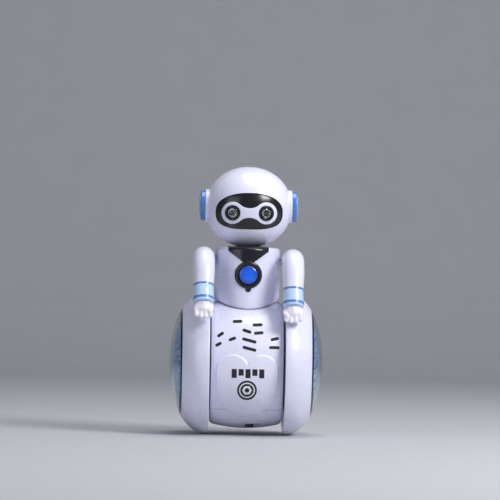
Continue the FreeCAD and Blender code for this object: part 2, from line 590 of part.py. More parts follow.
def make_gear_train():
    axle, first, second, motor = gear_places()
    width, step, start = number("gear_width"), number("gear_pitch_x"), number("first_gear_x")
    plane = [start, start - step, start - 2 * step]
    axle_teeth, big, small = number("axle_teeth"), number("wheel_teeth"), number("pinion_teeth")
    pin, bore = number("pin_radius"), number("pin_radius") + number("pin_clearance")
    hub = number("gear_module") * (small / 2 - 1.2)
    first_small = mesh_turn(axle, axle_teeth, 0.0, first, small)
    second_small = mesh_turn(first, big, 0.0, second, small)
    pinion = mesh_turn(second, big, 0.0, motor, small)
    sub_part("axle_gear", feature("AxleGear", stand(gear_shape(axle_teeth, width, number("axle_radius")),
                                                   axle, plane[2])))
    for label, spot, wheel_x, small_x, small_turn in (
            ("first_idler_gear", first, plane[1], plane[2], first_small),
            ("second_idler_gear", second, plane[0], plane[1], second_small)):
        large = gear_shape(big, width, bore)
        little = gear_shape(small, width + step - width, bore, small_turn)
        joined = stand(large, spot, wheel_x).fuse(stand(little, spot, small_x))
        sub_part(label, feature(label, joined.removeSplitter()))
    sub_part("motor_pinion", feature("MotorPinion", stand(gear_shape(small, width, pin, pinion), motor, plane[0])))
    sub_part("motor_shaft", rod("MotorShaft", "X", "pin_radius", "motor_x + 2 - first_gear_x", "first_gear_x",
                                "motor_y", AXLE_Z))
    can = block("MotorCan", "motor_length", "motor_width", "motor_height", "motor_x",
                "motor_y - motor_width / 2", "wheel_radius - motor_height / 2")
    round_can = rod("MotorRound", "X", "motor_width / 2", "motor_length", "motor_x", "motor_y", AXLE_Z)
    hole = rod("MotorBore", "X", "pin_radius + pin_clearance", 4, "motor_x", "motor_y", AXLE_Z)
    sub_part("drive_motor", cut("Motor", common("MotorShell", can, round_can), hole))
    pins = []
    for number_of, (y, z) in (("One", first), ("Two", second)):
        pins.append(rod(f"GearPin{number_of}", "X", "pin_radius", "plate_left_x - plate_right_x + plate_thickness",
                        "plate_right_x", y, z))
    sub_part("gear_pins", group("GearPins", *pins))
    for label, x in (("gearbox_plate_left", "plate_left_x"), ("gearbox_plate_right", "plate_right_x")):
        plate = new_body(label.replace("_", ""), x)
        padded(plate, "YZ_Plane", [
            ("plate_front_y", "plate_low_z"), ("plate_back_y", "plate_low_z"),
            ("plate_back_y", "plate_high_z - 6"), ("plate_back_y - 6", "plate_high_z"),
            ("plate_front_y", "plate_high_z")], "plate_thickness")
        holes = [rod(label + "AxleHole", "X", "axle_radius + 0.3", 20, -15, 0, AXLE_Z),
                 rod(label + "MotorHole", "X", "pin_radius + 0.4", 20, -15, "motor_y", AXLE_Z)]
        holes += [rod(f"{label}Pin{k}", "X", "pin_radius", 20, -15, *spot)
                  for k, spot in enumerate((first, second))]
        sub_part(label, cut(label + "Bored", plate, *holes))
    posts = []
    for k, (y, z) in enumerate((("plate_front_y + 1.4", "plate_low_z + 1.4"),
                                ("plate_front_y + 1.4", "plate_high_z - 1.4"),
                                ("plate_back_y - 1.4", "plate_low_z + 1.4"))):
        posts.append(rod(f"GearboxPost{k}", "X", 1.2, "plate_left_x - plate_right_x - plate_thickness",
                         "plate_right_x + plate_thickness", y, z))
    sub_part("gearbox_posts", group("GearboxPosts", *posts))


# ---------------------------------------------------------------- torso

def torso_solid(grow):
    """The torso's outer form as one shape, grown outwards by grow, with a rounded shoulder."""
    across, deep = number("torso_half_width") + grow, number("torso_half_depth") + grow
    plan = Part.Ellipse(vec(0, deep, 40), vec(across, 0, 40), vec(0, 0, 40)).toShape()
    solid = Part.Face(Part.Wire(plan)).extrude(vec(0, 0, 60))
    dome_radius = number("torso_dome_radius")
    lid = Part.makeSphere(dome_radius, vec(0, 0, number("torso_top_z") + grow - dome_radius))
    solid = solid.common(lid)
    shoulder = [e for e in solid.Edges if e.BoundBox.ZMin > 70 and e.Length > 20]
    return solid.makeFillet(number("torso_edge_radius"), shoulder)


def make_torso():
    wall = number("torso_wall")
    outer, inner = torso_solid(0), torso_solid(-wall)
    tube = feature("TorsoTube", outer.cut(inner))
    lip = feature("TorsoLip", torso_solid(-wall / 2).cut(inner))
    skirt = cut("TorsoSkirt", tube, barrel("BarrelGroove", "torso_groove"))
    tongue = cut("TorsoTongue", lip, barrel("BarrelSeat"))
    neck = rod("NeckSeat", "Z", "neck_ring_radius", 20, 0, 0, "neck_ring_low_z")
    stem = rod("NeckBore", "Z", "neck_stem_radius", 40, 0, 0, 60)
    pins = rod("ShoulderBores", "X", "shoulder_pin_radius", 60, -30, 0, "shoulder_z")
    limit = feature("TorsoBossLimit", torso_solid(-wall / 2))
    fronts, rears, front_bores, rear_bores = boss_pair("torso", -20, 3.0, 20)
    front_posts = common("TorsoFrontPosts", feature("TorsoFrontRods", Part.makeCompound(fronts)), limit)
    rear_posts = common("TorsoRearPosts", feature("TorsoRearRods", Part.makeCompound(rears)), limit)
    v_top = number("torso_top_z") + 4
    slope = (number("collar_top_x") - number("collar_foot_x")) / (79.5 - number("collar_foot_z"))
    top_x = number("collar_foot_x") + slope * (v_top - number("collar_foot_z"))
    corners = [vec(number("collar_foot_x"), -30, number("collar_foot_z")), vec(top_x, -30, v_top),
               vec(-top_x, -30, v_top), vec(-number("collar_foot_x"), -30, number("collar_foot_z"))]
    wedge = Part.Face(Part.makePolygon(corners + corners[:1])).extrude(vec(0, 28, 0))
    depth = number("collar_depth")
    band = torso_solid(number("collar_height")).common(wedge).cut(torso_solid(-depth))
    bezel_bore = rod("BezelBore", "Y", "bezel_radius", 20, 0, -26, "button_z")
    collar = cut("CollarTrim", feature("CollarBand", band), bezel_bore,
                 rod("CollarNeck", "Z", "neck_ring_radius", 20, 0, 0, 70))
    sub_part("chest_collar", collar)
    recess = feature("CollarRecess", torso_solid(1).common(wedge).cut(torso_solid(-depth)))
    shell = cut("TorsoShell", fuse("TorsoWhole", skirt, tongue), neck, stem, pins, recess)
    front = common("TorsoFrontPlain", shell, half_space("TorsoFrontSide", "front", "torso_seam_y"))
    front = fuse("TorsoFrontWhole", front, front_posts)
    sub_part("torso_front_shell", cut("TorsoFront", front, bezel_bore, nub_tool("NubBore", 1),
                                      feature("TorsoFrontBores", Part.makeCompound(front_bores))))
    rear = common("TorsoRearPlain", shell, half_space("TorsoRearSide", "rear", "torso_seam_y + 0.06"))
    rear = fuse("TorsoRearWhole", rear, rear_posts)
    front_room = feature("TorsoFrontPostRoom", Part.makeCompound(
        [Part.makeCylinder(number("boss_radius") + 0.05, 24, vec(x * number("torso_screw_x"), -21, 62), vec(0, 1, 0))
         for x in (-1, 1)]))
    sub_part("torso_rear_shell", cut("TorsoRear", rear, feature("TorsoRearBores", Part.makeCompound(rear_bores)),
                                     front_room))
    rear_screws("torso", 9)
    make_button()


def nub_tool(name, grow):
    """The little drop below the button's ring."""
    drop = Part.makeCylinder(1.25, 14, vec(0, -24, 61.2), vec(0, 1, 0))
    return feature(name, drop.common(torso_solid(grow)).cut(torso_solid(-number("torso_wall"))))


def make_button():
    button_z, back = number("button_z"), number("bezel_back_y")
    along = vec(0, 1, 0)
    bezel_radius, clear = number("bezel_radius"), number("button_radius") + number("button_clearance")
    ring = Part.makeCylinder(bezel_radius, 12, vec(0, -24, button_z), along)
    ring = ring.common(torso_solid(number("bezel_height")))
    behind = Part.makeCylinder(number("flange_radius") + 0.2, 20, vec(0, back, button_z), along)
    bore = Part.makeCylinder(clear, 40, vec(0, -30, button_z), along)
    nub = Part.makeCylinder(1.25, 14, vec(0, -24, 61.2), along).common(torso_solid(0.45))
    nub = nub.cut(torso_solid(-number("torso_wall")))
    limit = Part.makeBox(40, 40, 40, vec(-20, -53, 40))
    ring = ring.common(limit).cut(behind).cut(bore).fuse(nub.cut(behind)).removeSplitter()
    sub_part("button_bezel", feature("ButtonBezel", ring))
    key = Part.makeCylinder(number("button_radius"), 30, vec(0, -30 + 0, button_z), along)
    key = key.common(torso_solid(number("button_height")))
    key = key.common(Part.makeBox(40, 40, 40, vec(-20, back - 40, 40)))
    flange = Part.makeCylinder(number("flange_radius"), number("flange_thickness"),
                               vec(0, back + 0.05, button_z), along)
    stem = Part.makeCylinder(number("button_stem_radius"), 2.2, vec(0, back + 0.5, button_z), along)
    neck = Part.makeCylinder(number("button_radius") - 0.3, 0.3, vec(0, back - 0.1, button_z), along)
    sub_part("chest_button", feature("ChestButton", key.fuse([neck, flange, stem]).removeSplitter()))
    board = new_body("MainBoard", 0, "board_front_y")
    padded(board, "XZ_Plane", [
        ("-board_half_width", "board_low_z"), ("board_half_width", "board_low_z"),
        ("board_half_width", "board_high_z"), ("-board_half_width", "board_high_z")], "board_thickness")
    board.Group[-1].Reversed = True
    sub_part("main_board", board)
    case = block("TactCase", "switch_side", "switch_height", "switch_side", "-switch_side / 2",
                 "board_front_y - switch_height", "button_z - switch_side / 2")
    plunger = rod("TactPlunger", "Y", 1.5, 0.6, 0, "board_front_y - switch_height - 0.6", "button_z")
    sub_part("tact_switch", fuse("TactSwitch", case, plunger))


# ---------------------------------------------------------------- neck and head

def make_neck():
    ring = rod("NeckRing", "Z", "neck_ring_radius", "neck_ring_high_z - neck_ring_low_z", 0, 0, "neck_ring_low_z")
    foot = rod("NeckFoot", "Z", "neck_stem_radius", "neck_top_z - neck_ring_low_z + 4", 0, 0, "neck_ring_low_z - 4")
    flange = rod("NeckFlange", "Z", "neck_flange_radius", "neck_top_z - neck_flange_low_z", 0, 0, "neck_flange_low_z")
    bore = rod("NeckWireBore", "Z", "neck_bore_radius", 30, 0, 0, 65)
    sub_part("neck_post", cut("NeckPost", fuse("NeckSolid", ring, foot, flange), bore))


def head_solid(grow):
    """The head's form: a superellipse turned about Z, grown outwards by grow."""
    radius, half, middle = number("head_radius") + grow, number("head_half_height") + grow, number("head_z")
    up = lambda a, b: vec(a, 0, middle + b)
    down = lambda a, b: vec(a, 0, middle - b)
    top = quarter_edge(superellipse(radius, half, number("head_top_power")), up, (0, 1), (-1, 0))
    low = quarter_edge(superellipse(radius, half, number("head_low_power")), down, (0, 1), (-1, 0))
    axis = Part.makeLine(up(0, half), down(0, half))
    wire = Part.Wire(Part.__sortEdges__([top, low, axis]))
    return Part.Face(wire).revolve(vec(0, 0, 0), vec(0, 0, 1), 360)


def mask_prism(scale):
    """The face opening's outline, arched above and flatter below, as a prism towards the front."""
    half, middle = number("mask_half_width") * scale, number("mask_z")
    up = lambda a, b: vec(a, -40, middle + b)
    down = lambda a, b: vec(a, -40, middle - b)
    high = superellipse(half, number("mask_up") * scale, number("mask_up_power"))
    low = superellipse(half, number("mask_down") * scale, number("mask_down_power"))
    edges = [quarter_edge(high, up, (0, 1), (-1, 0)), quarter_edge(low, down, (0, 1), (-1, 0))]
    edges += [edge.mirror(vec(0, 0, 0), vec(1, 0, 0)) for edge in edges]
    return Part.Face(Part.Wire(Part.__sortEdges__(edges))).extrude(vec(0, 38, 0))


def goggle_prism():
    """Two lobes about the eyes and a waisted bridge, all arcs that meet smoothly."""
    eye_x, eye_z = number("eye_x"), number("eye_z")
    lobe, waist, y = number("lobe_radius"), number("bridge_half_height"), -40
    hollow = (eye_x ** 2 + waist ** 2 - lobe ** 2) / (2 * (lobe - waist))
    share = hollow / (lobe + hollow)
    meet_x, meet_z = eye_x * share, (waist + hollow) * (1 - share)
    edges = []
    for side in (1, -1):
        edges.append(Part.Arc(vec(-meet_x, y, eye_z + side * meet_z), vec(0, y, eye_z + side * waist),
                              vec(meet_x, y, eye_z + side * meet_z)).toShape())
        edges.append(Part.Arc(vec(side * meet_x, y, eye_z + meet_z), vec(side * (eye_x + lobe), y, eye_z),
                              vec(side * meet_x, y, eye_z - meet_z)).toShape())
    return Part.Face(Part.Wire(Part.__sortEdges__(edges))).extrude(vec(0, 38, 0))


def eye_rods(radius, length=38.0, start=-40.0):
    return [Part.makeCylinder(radius, length, vec(side * number("eye_x"), start, number("eye_z")), vec(0, 1, 0))
            for side in (-1, 1)]


def make_head():
    wall, recess, thick = number("head_wall"), number("mask_recess"), number("mask_wall")
    skin = head_solid(0)
    ear_z, boss_x = number("ear_z"), number("ear_boss_x")
    hollow = head_solid(-wall)
    boss = Part.makeCylinder(number("ear_boss_radius"), 2 * boss_x, vec(-boss_x, 0, ear_z), vec(1, 0, 0))
    shell = skin.fuse(boss).cut(hollow)
    collar = Part.makeCylinder(13.0, number("collar_high_z") - number("collar_low_z"), vec(0, 0, number("collar_low_z")))
    collar = collar.common(head_solid(-wall / 2))
    stem = Part.makeCylinder(number("neck_stem_radius") + number("neck_clearance"), 30, vec(0, 0, 70))
    shell = shell.fuse(collar).cut(stem)
    limit = head_solid(-wall / 2)
    fronts, rears, front_bores, rear_bores = boss_pair("head", -8, 0, 20)
    rears = [post.common(limit) for post in rears]
    side = Part.makeBox(100, 50, 120, vec(-50, -50, 0))
    front = shell.common(side).cut(mask_prism(1.0)).fuse(fronts).cut(front_bores)
    sub_part("head_front_shell", feature("HeadFront", front))
    rear_side = Part.makeBox(100, 50, 120, vec(-50, 0.05, 0))
    rear = shell.fuse(rears).common(rear_side).cut(rear_bores)
    sub_part("head_rear_shell", feature("HeadRear", rear))
    rear_screws("head", 8)
    plate = head_solid(-recess).cut(head_solid(-recess - thick - 0.8)).common(mask_prism(0.992))
    lip = head_solid(-wall - 0.05).cut(head_solid(-recess - thick - 0.8)).common(mask_prism(1.07))
    mask = plate.fuse(lip).cut(eye_rods(number("lens_radius") + 0.3))
    sub_part("face_mask", feature("FaceMask", mask.removeSplitter()))
    goggle = head_solid(number("goggle_height")).cut(head_solid(-recess)).common(goggle_prism())
    goggle = goggle.cut(eye_rods(number("eye_ring_radius") + 0.05))
    sub_part("eye_goggle", feature("EyeGoggle", goggle))
    band = head_solid(number("eye_ring_height")).cut(head_solid(-recess))
    rings = [band.common(rod_shape).cut(bore) for rod_shape, bore in
             zip(eye_rods(number("eye_ring_radius")), eye_rods(number("lens_radius") + 0.05))]
    sub_part("eye_rings", feature("EyeRings", Part.makeCompound(rings)))
    cap = head_solid(0.3).cut(head_solid(-recess - 0.8))
    lenses = [cap.common(rod_shape) for rod_shape in eye_rods(number("lens_radius"))]
    sub_part("eye_lenses", feature("EyeLenses", Part.makeCompound(lenses)))
    leds = []
    for (rod_shape, x) in zip(eye_rods(number("led_radius"), 3.2, -12.6), (-1, 1)):
        nose = Part.makeSphere(number("led_radius"), vec(x * number("eye_x"), -12.6, number("eye_z")))
        foot = Part.makeCylinder(1.9, 0.8, vec(x * number("eye_x"), -9.6, number("eye_z")), vec(0, 1, 0))
        leds.append(rod_shape.fuse([nose, foot]).removeSplitter())
    sub_part("eye_leds", feature("EyeLeds", Part.makeCompound(leds)))
    led_board = new_body("EyeBoard", 0, -8.8)
    padded(led_board, "XZ_Plane", [(-10.5, 89), (10.5, 89), (10.5, 97), (-10.5, 97)], 1.2)
    led_board.Group[-1].Reversed = True
    sub_part("eye_board", led_board)
    discs, caps = [], []
    for side_name, x in (("Left", 1), ("Right", -1)):
        start = "ear_boss_x" if x > 0 else "-ear_disc_x"
        discs.append(rod("EarDisc" + side_name, "X", "ear_disc_radius", "ear_disc_x - ear_boss_x", start, 0, "ear_z"))
        start = "ear_disc_x" if x > 0 else "-ear_cap_x"
        caps.append(rod("EarCap" + side_name, "X", "ear_cap_radius", "ear_cap_x - ear_disc_x", start, 0, "ear_z"))
    sub_part("ear_discs", group("EarDiscs", *discs))
    sub_part("ear_caps", group("EarCaps", *caps))


# ---------------------------------------------------------------- arms

def arm_line():
    shoulder = vec(0, 0, number("shoulder_z"))
    elbow = vec(0, number("elbow_y"), number("elbow_z"))
    wrist = vec(0, number("wrist_y"), number("wrist_z"))
    tip = vec(0, number("tip_y"), number("tip_z"))
    return shoulder, elbow, wrist, tip


def make_arm_shapes():
    shoulder, elbow, wrist, tip = arm_line()
    thick, thin = number("arm_radius"), number("wrist_radius")
    upper = Part.makeCylinder(thick, (elbow - shoulder).Length, shoulder, elbow - shoulder)
    fore = Part.makeCone(thick, thin, (wrist - elbow).Length, elbow, wrist - elbow)
    balls = [Part.makeSphere(thick, shoulder), Part.makeSphere(thick, elbow)]
    arm = upper.fuse([fore] + balls).removeSplitter()
    arm.translate(vec(number("arm_x"), 0, 0))
    pin = Part.makeCylinder(number("shoulder_pin_radius") + number("arm_clearance"), 
                            number("shoulder_pin_out_x") + 0.2 - 10, vec(10, 0, shoulder.z), vec(1, 0, 0))
    arm = arm.cut(pin)
    direction = (wrist - elbow).normalize()
    start = elbow + direction * number("cuff_start")
    cuff = Part.makeCone(number("cuff_top_radius"), number("cuff_foot_radius"), number("cuff_length"), start, direction)
    cuff.translate(vec(number("arm_x"), 0, 0))
    end = elbow + direction * (number("cuff_start") + number("cuff_length"))
    aim = (tip - end).normalize()
    palm = Part.makeCone(3.7, 3.3, (tip - end).Length - 3.2, end, aim)
    palm = palm.fuse(Part.makeSphere(3.3, tip - aim * 3.2))
    fingers = []
    for k in range(4):
        spot = tip - aim * 2.2 + vec((k - 1.5) * 1.9, -0.6, 0)
        fingers.append(Part.makeSphere(1.55, spot))
    thumb = Part.makeCylinder(1.4, 4.2, end + aim * 1.5 + vec(-2.9, -1.0, 0), aim)
    thumb_tip = Part.makeSphere(1.4, end + aim * 5.7 + vec(-2.9, -1.0, 0))
    hand = palm.fuse(fingers + [thumb, thumb_tip]).removeSplitter()
    hand.translate(vec(number("arm_x"), 0, 0))
    arm = arm.cut(cuff)
    hand = hand.cut(cuff)
    return arm, cuff, hand


def make_arms():
    shapes = make_arm_shapes()
    lift = number("right_arm_lift")
    shoulder = arm_line()[0]
    for label, shape in zip(("arm", "cuff", "hand"), shapes):
        sub_part("left_" + label, feature("Left" + label, shape))
        other = shape.mirror(vec(0, 0, 0), vec(1, 0, 0))
        other.rotate(shoulder, vec(1, 0, 0), -lift)
        sub_part("right_" + label, feature("Right" + label, other))
    pins = []
    for side_name, start, head in (("Left", "shoulder_pin_in_x", "shoulder_pin_in_x - 1.2"),
                                   ("Right", "-shoulder_pin_out_x", "-shoulder_pin_in_x")):
        pin = rod("ShoulderPin" + side_name, "X", "shoulder_pin_radius", "shoulder_pin_out_x - shoulder_pin_in_x",
                  start, 0, "shoulder_z")
        flange = rod("ShoulderHead" + side_name, "X", 3.2, 1.2, head, 0, "shoulder_z")
        pins.append(fuse("ShoulderPinWhole" + side_name, pin, flange))
    sub_part("shoulder_pins", group("ShoulderPins", *pins))


make_wheels()
make_barrel()
make_power_pack()
make_speaker()
make_power_switch()
make_gear_train()
make_torso()
make_neck()
make_head()
make_arms()

doc.recompute()
faulty = [item.Label for item in doc.Objects if "Invalid" in item.State or "Error" in item.State]
if faulty:
    raise RuntimeError("objects that did not recompute: " + ", ".join(faulty))
for item in sub_parts:
    if item.Shape.isNull() or not item.Shape.isValid() or not item.Shape.Solids:
        raise RuntimeError("bad shape: " + item.Label)

os.makedirs("parts", exist_ok=True)
for item in sub_parts:
    item.Shape.exportStep(f"parts/{item.Label}.step")
print(len(sub_parts), "sub-parts written")
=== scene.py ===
import json
import math

import bmesh
import bpy
import numpy as np
from mathutils import Matrix, Vector


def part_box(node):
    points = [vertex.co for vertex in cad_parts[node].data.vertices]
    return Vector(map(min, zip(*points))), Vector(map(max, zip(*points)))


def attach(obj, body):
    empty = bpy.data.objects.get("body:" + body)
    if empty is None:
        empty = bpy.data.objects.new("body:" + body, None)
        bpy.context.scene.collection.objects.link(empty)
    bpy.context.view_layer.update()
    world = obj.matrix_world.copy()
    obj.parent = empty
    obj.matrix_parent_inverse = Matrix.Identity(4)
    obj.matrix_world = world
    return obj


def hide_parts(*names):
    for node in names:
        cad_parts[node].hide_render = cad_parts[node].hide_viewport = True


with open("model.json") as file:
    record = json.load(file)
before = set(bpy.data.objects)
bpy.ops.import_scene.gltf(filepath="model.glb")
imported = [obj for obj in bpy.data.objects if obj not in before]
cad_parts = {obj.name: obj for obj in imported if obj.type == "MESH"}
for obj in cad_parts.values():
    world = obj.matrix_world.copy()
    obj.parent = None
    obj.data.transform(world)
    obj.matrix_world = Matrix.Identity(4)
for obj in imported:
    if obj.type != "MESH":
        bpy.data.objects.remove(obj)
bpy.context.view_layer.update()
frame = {"nodes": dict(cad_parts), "record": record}

MM = 0.001
SHELL_ANGLE = 35      # degrees; sharper edges of the shells stay crisp


def mm_pairs(table):
    """Pairs of millimetres as pairs of metres."""
    return [(a * MM, b * MM) for a, b in table]


def point(x, y, z):
    """A point given in millimetres."""
    return Vector((x * MM, y * MM, z * MM))


# ---------------------------------------------------------------- driving sizes, from the frame

drum_low, drum_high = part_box("left_wheel_drum")
WHEEL_R = (drum_high.z - drum_low.z) / 2
AXLE_Z = (drum_high.z + drum_low.z) / 2
WHEEL_X = drum_low.x
RIM_DEPTH = drum_high.x - WHEEL_X
DOME_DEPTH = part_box("left_wheel_cap")[1].x - WHEEL_X
DOME_POWER = 2.15

BARREL_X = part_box("barrel_front_shell")[1].x
BARREL_R = AXLE_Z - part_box("bottom_cover")[0].z
BARREL_WALL = 1.3 * MM
BARREL_EDGE = 0.9 * MM
CROWN_R = 57.25 * MM
SEAM_Z = 11.0 * MM
TONGUE_Z = 7.7 * MM
TONGUE_X = 8.0 * MM

TORSO_A = 13.5 * MM
TORSO_B = 16.0 * MM
TORSO_TOP = 78.9 * MM
TORSO_DOME = 150.0 * MM
TORSO_EDGE = 1.6 * MM
TORSO_SEAM_Y = -5.4 * MM
NECK_R = 8.0 * MM
GROOVE = 0.8 * MM
SIDE_GAP = 0.14 * MM

HEAD_HALF = 16.85 * MM
HEAD_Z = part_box("head_front_shell")[1].z - HEAD_HALF
HEAD_R = 18.1 * MM
HEAD_TOP_POWER, HEAD_LOW_POWER = 2.04, 2.15
MASK_Z = 93.3 * MM
MASK_HALF = 14.0 * MM
MASK_UP, MASK_UP_POWER = 7.8 * MM, 2.25
MASK_DOWN, MASK_DOWN_POWER = 7.4 * MM, 2.9
EYE_X, EYE_Z = 7.0 * MM, 92.7 * MM
LOBE_R, BRIDGE_HALF = 4.6 * MM, 2.0 * MM

ear_low, ear_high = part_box("ear_discs")
EAR_CAP_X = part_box("ear_caps")[1].x
EAR_Z = (ear_low.z + ear_high.z) / 2
EAR_BOSS_X = 18.2 * MM

BUTTON_Z = 67.0 * MM
SHOULDER = point(0, 0, 73.2)
SCREW_WELL_R = 1.8 * MM


# ---------------------------------------------------------------- material helpers

def new_material(name, base, roughness=0.35, metallic=0.0, **sockets):
    """A principled material whose uniform values sit on the shader's own sockets."""
    mat = bpy.data.materials.new(name)
    mat.use_nodes = True
    shader = mat.node_tree.nodes["Principled BSDF"]
    shader.inputs["Base Color"].default_value = (*base, 1)
    shader.inputs["Roughness"].default_value = roughness
    shader.inputs["Metallic"].default_value = metallic
    for socket, value in sockets.items():
        shader.inputs[socket.replace("_", " ")].default_value = value
    return mat


def add(mat, kind, **values):
    """Adds a node; values set its attributes, or its inputs when the name is an input's."""
    node = mat.node_tree.nodes.new(kind)
    for key, value in values.items():
        if hasattr(node, key):
            setattr(node, key, value)
        else:
            node.inputs[key.replace("_", " ")].default_value = value
    return node


def link(mat, source, target):
    mat.node_tree.links.new(source, target)


def shader_of(mat):
    return mat.node_tree.nodes["Principled BSDF"]


def place_noise(mat, scale, detail=2.0, stretch=None):
    """Noise in the object's own coordinates, so that it stays put on the piece."""
    coordinates = add(mat, "ShaderNodeTexCoord")
    noise = add(mat, "ShaderNodeTexNoise", Scale=scale, Detail=detail)
    if stretch:
        mapping = add(mat, "ShaderNodeMapping", Scale=stretch)
        link(mat, coordinates.outputs["Object"], mapping.inputs["Vector"])
        link(mat, mapping.outputs["Vector"], noise.inputs["Vector"])
    else:
        link(mat, coordinates.outputs["Object"], noise.inputs["Vector"])
    return noise


def vary_colour(mat, low, high, scale, detail=2.0, stretch=None):
    noise = place_noise(mat, scale, detail, stretch)
    ramp = add(mat, "ShaderNodeValToRGB")
    ramp.color_ramp.elements[0].position, ramp.color_ramp.elements[1].position = 0.35, 0.65
    ramp.color_ramp.elements[0].color = (*low, 1)
    ramp.color_ramp.elements[1].color = (*high, 1)
    link(mat, noise.outputs["Fac"], ramp.inputs["Fac"])
    link(mat, ramp.outputs["Color"], shader_of(mat).inputs["Base Color"])
    return ramp


def vary_roughness(mat, low, high, scale, stretch=None):
    noise = place_noise(mat, scale, 3.0, stretch)
    spread = add(mat, "ShaderNodeMapRange", From_Min=0.3, From_Max=0.7, To_Min=low, To_Max=high)
    link(mat, noise.outputs["Fac"], spread.inputs["Value"])
    link(mat, spread.outputs["Result"], shader_of(mat).inputs["Roughness"])


def add_bump(mat, scale, strength, distance=0.00005, stretch=None):
    noise = place_noise(mat, scale, 2.0, stretch)
    bump = add(mat, "ShaderNodeBump", Strength=strength, Distance=distance)
    link(mat, noise.outputs["Fac"], bump.inputs["Height"])
    link(mat, bump.outputs["Normal"], shader_of(mat).inputs["Normal"])


def moulded_plastic(name, colour, roughness=0.3, spread=0.03, grain=1800, bump=0.12, **sockets):
    """Injection-moulded plastic: slight flow variation, uneven gloss and a very fine skin texture."""
    mat = new_material(name, colour, roughness, **sockets)
    low = [c * (1 - spread) for c in colour]
    high = [min(1, c * (1 + spread)) for c in colour]
    vary_colour(mat, low, high, 60)
    vary_roughness(mat, roughness * 0.82, roughness * 1.2, 240)
    add_bump(mat, grain, bump)
    return mat


def metal(name, colour, roughness=0.3, stretch=(1, 1, 1), bump=0.15):
    mat = new_material(name, colour, roughness, 1.0)
    vary_colour(mat, [c * 0.9 for c in colour], [min(1, c * 1.06) for c in colour], 300, 3.0, stretch)
    vary_roughness(mat, roughness * 0.7, roughness * 1.35, 900, stretch)
    add_bump(mat, 1500, bump, stretch=stretch)
    return mat


# ---------------------------------------------------------------- materials

WHITE = (0.74, 0.745, 0.90)
white_plastic = moulded_plastic("white_plastic", WHITE, 0.3, Coat_Weight=0.25, Coat_Roughness=0.12)
hand_plastic = moulded_plastic("hand_plastic", (0.80, 0.77, 0.86), 0.42)
cuff_plastic = moulded_plastic("cuff_plastic", (0.50, 0.66, 0.92), 0.26, Coat_Weight=0.3)
band_plastic = moulded_plastic("band_plastic", (0.085, 0.22, 0.50), 0.3, Coat_Weight=0.3)
black_gloss = moulded_plastic("black_gloss", (0.009, 0.009, 0.013), 0.24, bump=0.04, Coat_Weight=0.15,
                              Coat_Roughness=0.12)
black_matte = moulded_plastic("black_matte", (0.025, 0.025, 0.028), 0.6, bump=0.4)
ear_blue = moulded_plastic("ear_blue", (0.07, 0.20, 0.52), 0.22, Coat_Weight=0.4)
ear_pale = moulded_plastic("ear_pale", (0.24, 0.42, 0.74), 0.25, Coat_Weight=0.4)
gear_plastic = moulded_plastic("gear_plastic", (0.72, 0.71, 0.64), 0.45)
print_black = moulded_plastic("print_black", (0.012, 0.012, 0.016), 0.4, bump=0.05)
print_white = moulded_plastic("print_white", (0.78, 0.78, 0.86), 0.4, bump=0.05)
steel = metal("zinc_steel", (0.58, 0.59, 0.61), 0.32)
brass = metal("turned_brass", (0.72, 0.52, 0.22), 0.28, (6, 1, 1))
chrome_ring = metal("silver_reflector", (0.75, 0.75, 0.78), 0.15, bump=0.03)


def cast_iron_material():
    mat = new_material("cast_iron", (0.12, 0.12, 0.125), 0.6, 0.85)
    vary_colour(mat, (0.07, 0.07, 0.075), (0.17, 0.165, 0.16), 500, 6.0)
    vary_roughness(mat, 0.5, 0.75, 700)
    add_bump(mat, 900, 0.7, 0.0001)
    return mat


def circuit_board_material():
    mat = new_material("circuit_board", (0.02, 0.16, 0.06), 0.35)
    brick = add(mat, "ShaderNodeTexBrick", Scale=240.0, Mortar_Size=0.03)
    brick.inputs["Color1"].default_value = (0.015, 0.14, 0.05, 1)
    brick.inputs["Color2"].default_value = (0.02, 0.18, 0.07, 1)
    brick.inputs["Mortar"].default_value = (0.10, 0.32, 0.12, 1)
    coordinates = add(mat, "ShaderNodeTexCoord")
    mapping = add(mat, "ShaderNodeMapping", Rotation=(math.pi / 2, 0, 0))
    link(mat, coordinates.outputs["Object"], mapping.inputs["Vector"])
    link(mat, mapping.outputs["Vector"], brick.inputs["Vector"])
    link(mat, brick.outputs["Color"], shader_of(mat).inputs["Base Color"])
    vary_roughness(mat, 0.25, 0.45, 600)
    add_bump(mat, 900, 0.2)
    return mat


def clear_plastic(name, tint, roughness=0.03):
    mat = new_material(name, tint, roughness, Transmission_Weight=1.0, IOR=1.47)
    vary_roughness(mat, roughness * 0.6, roughness * 1.6, 300)
    return mat


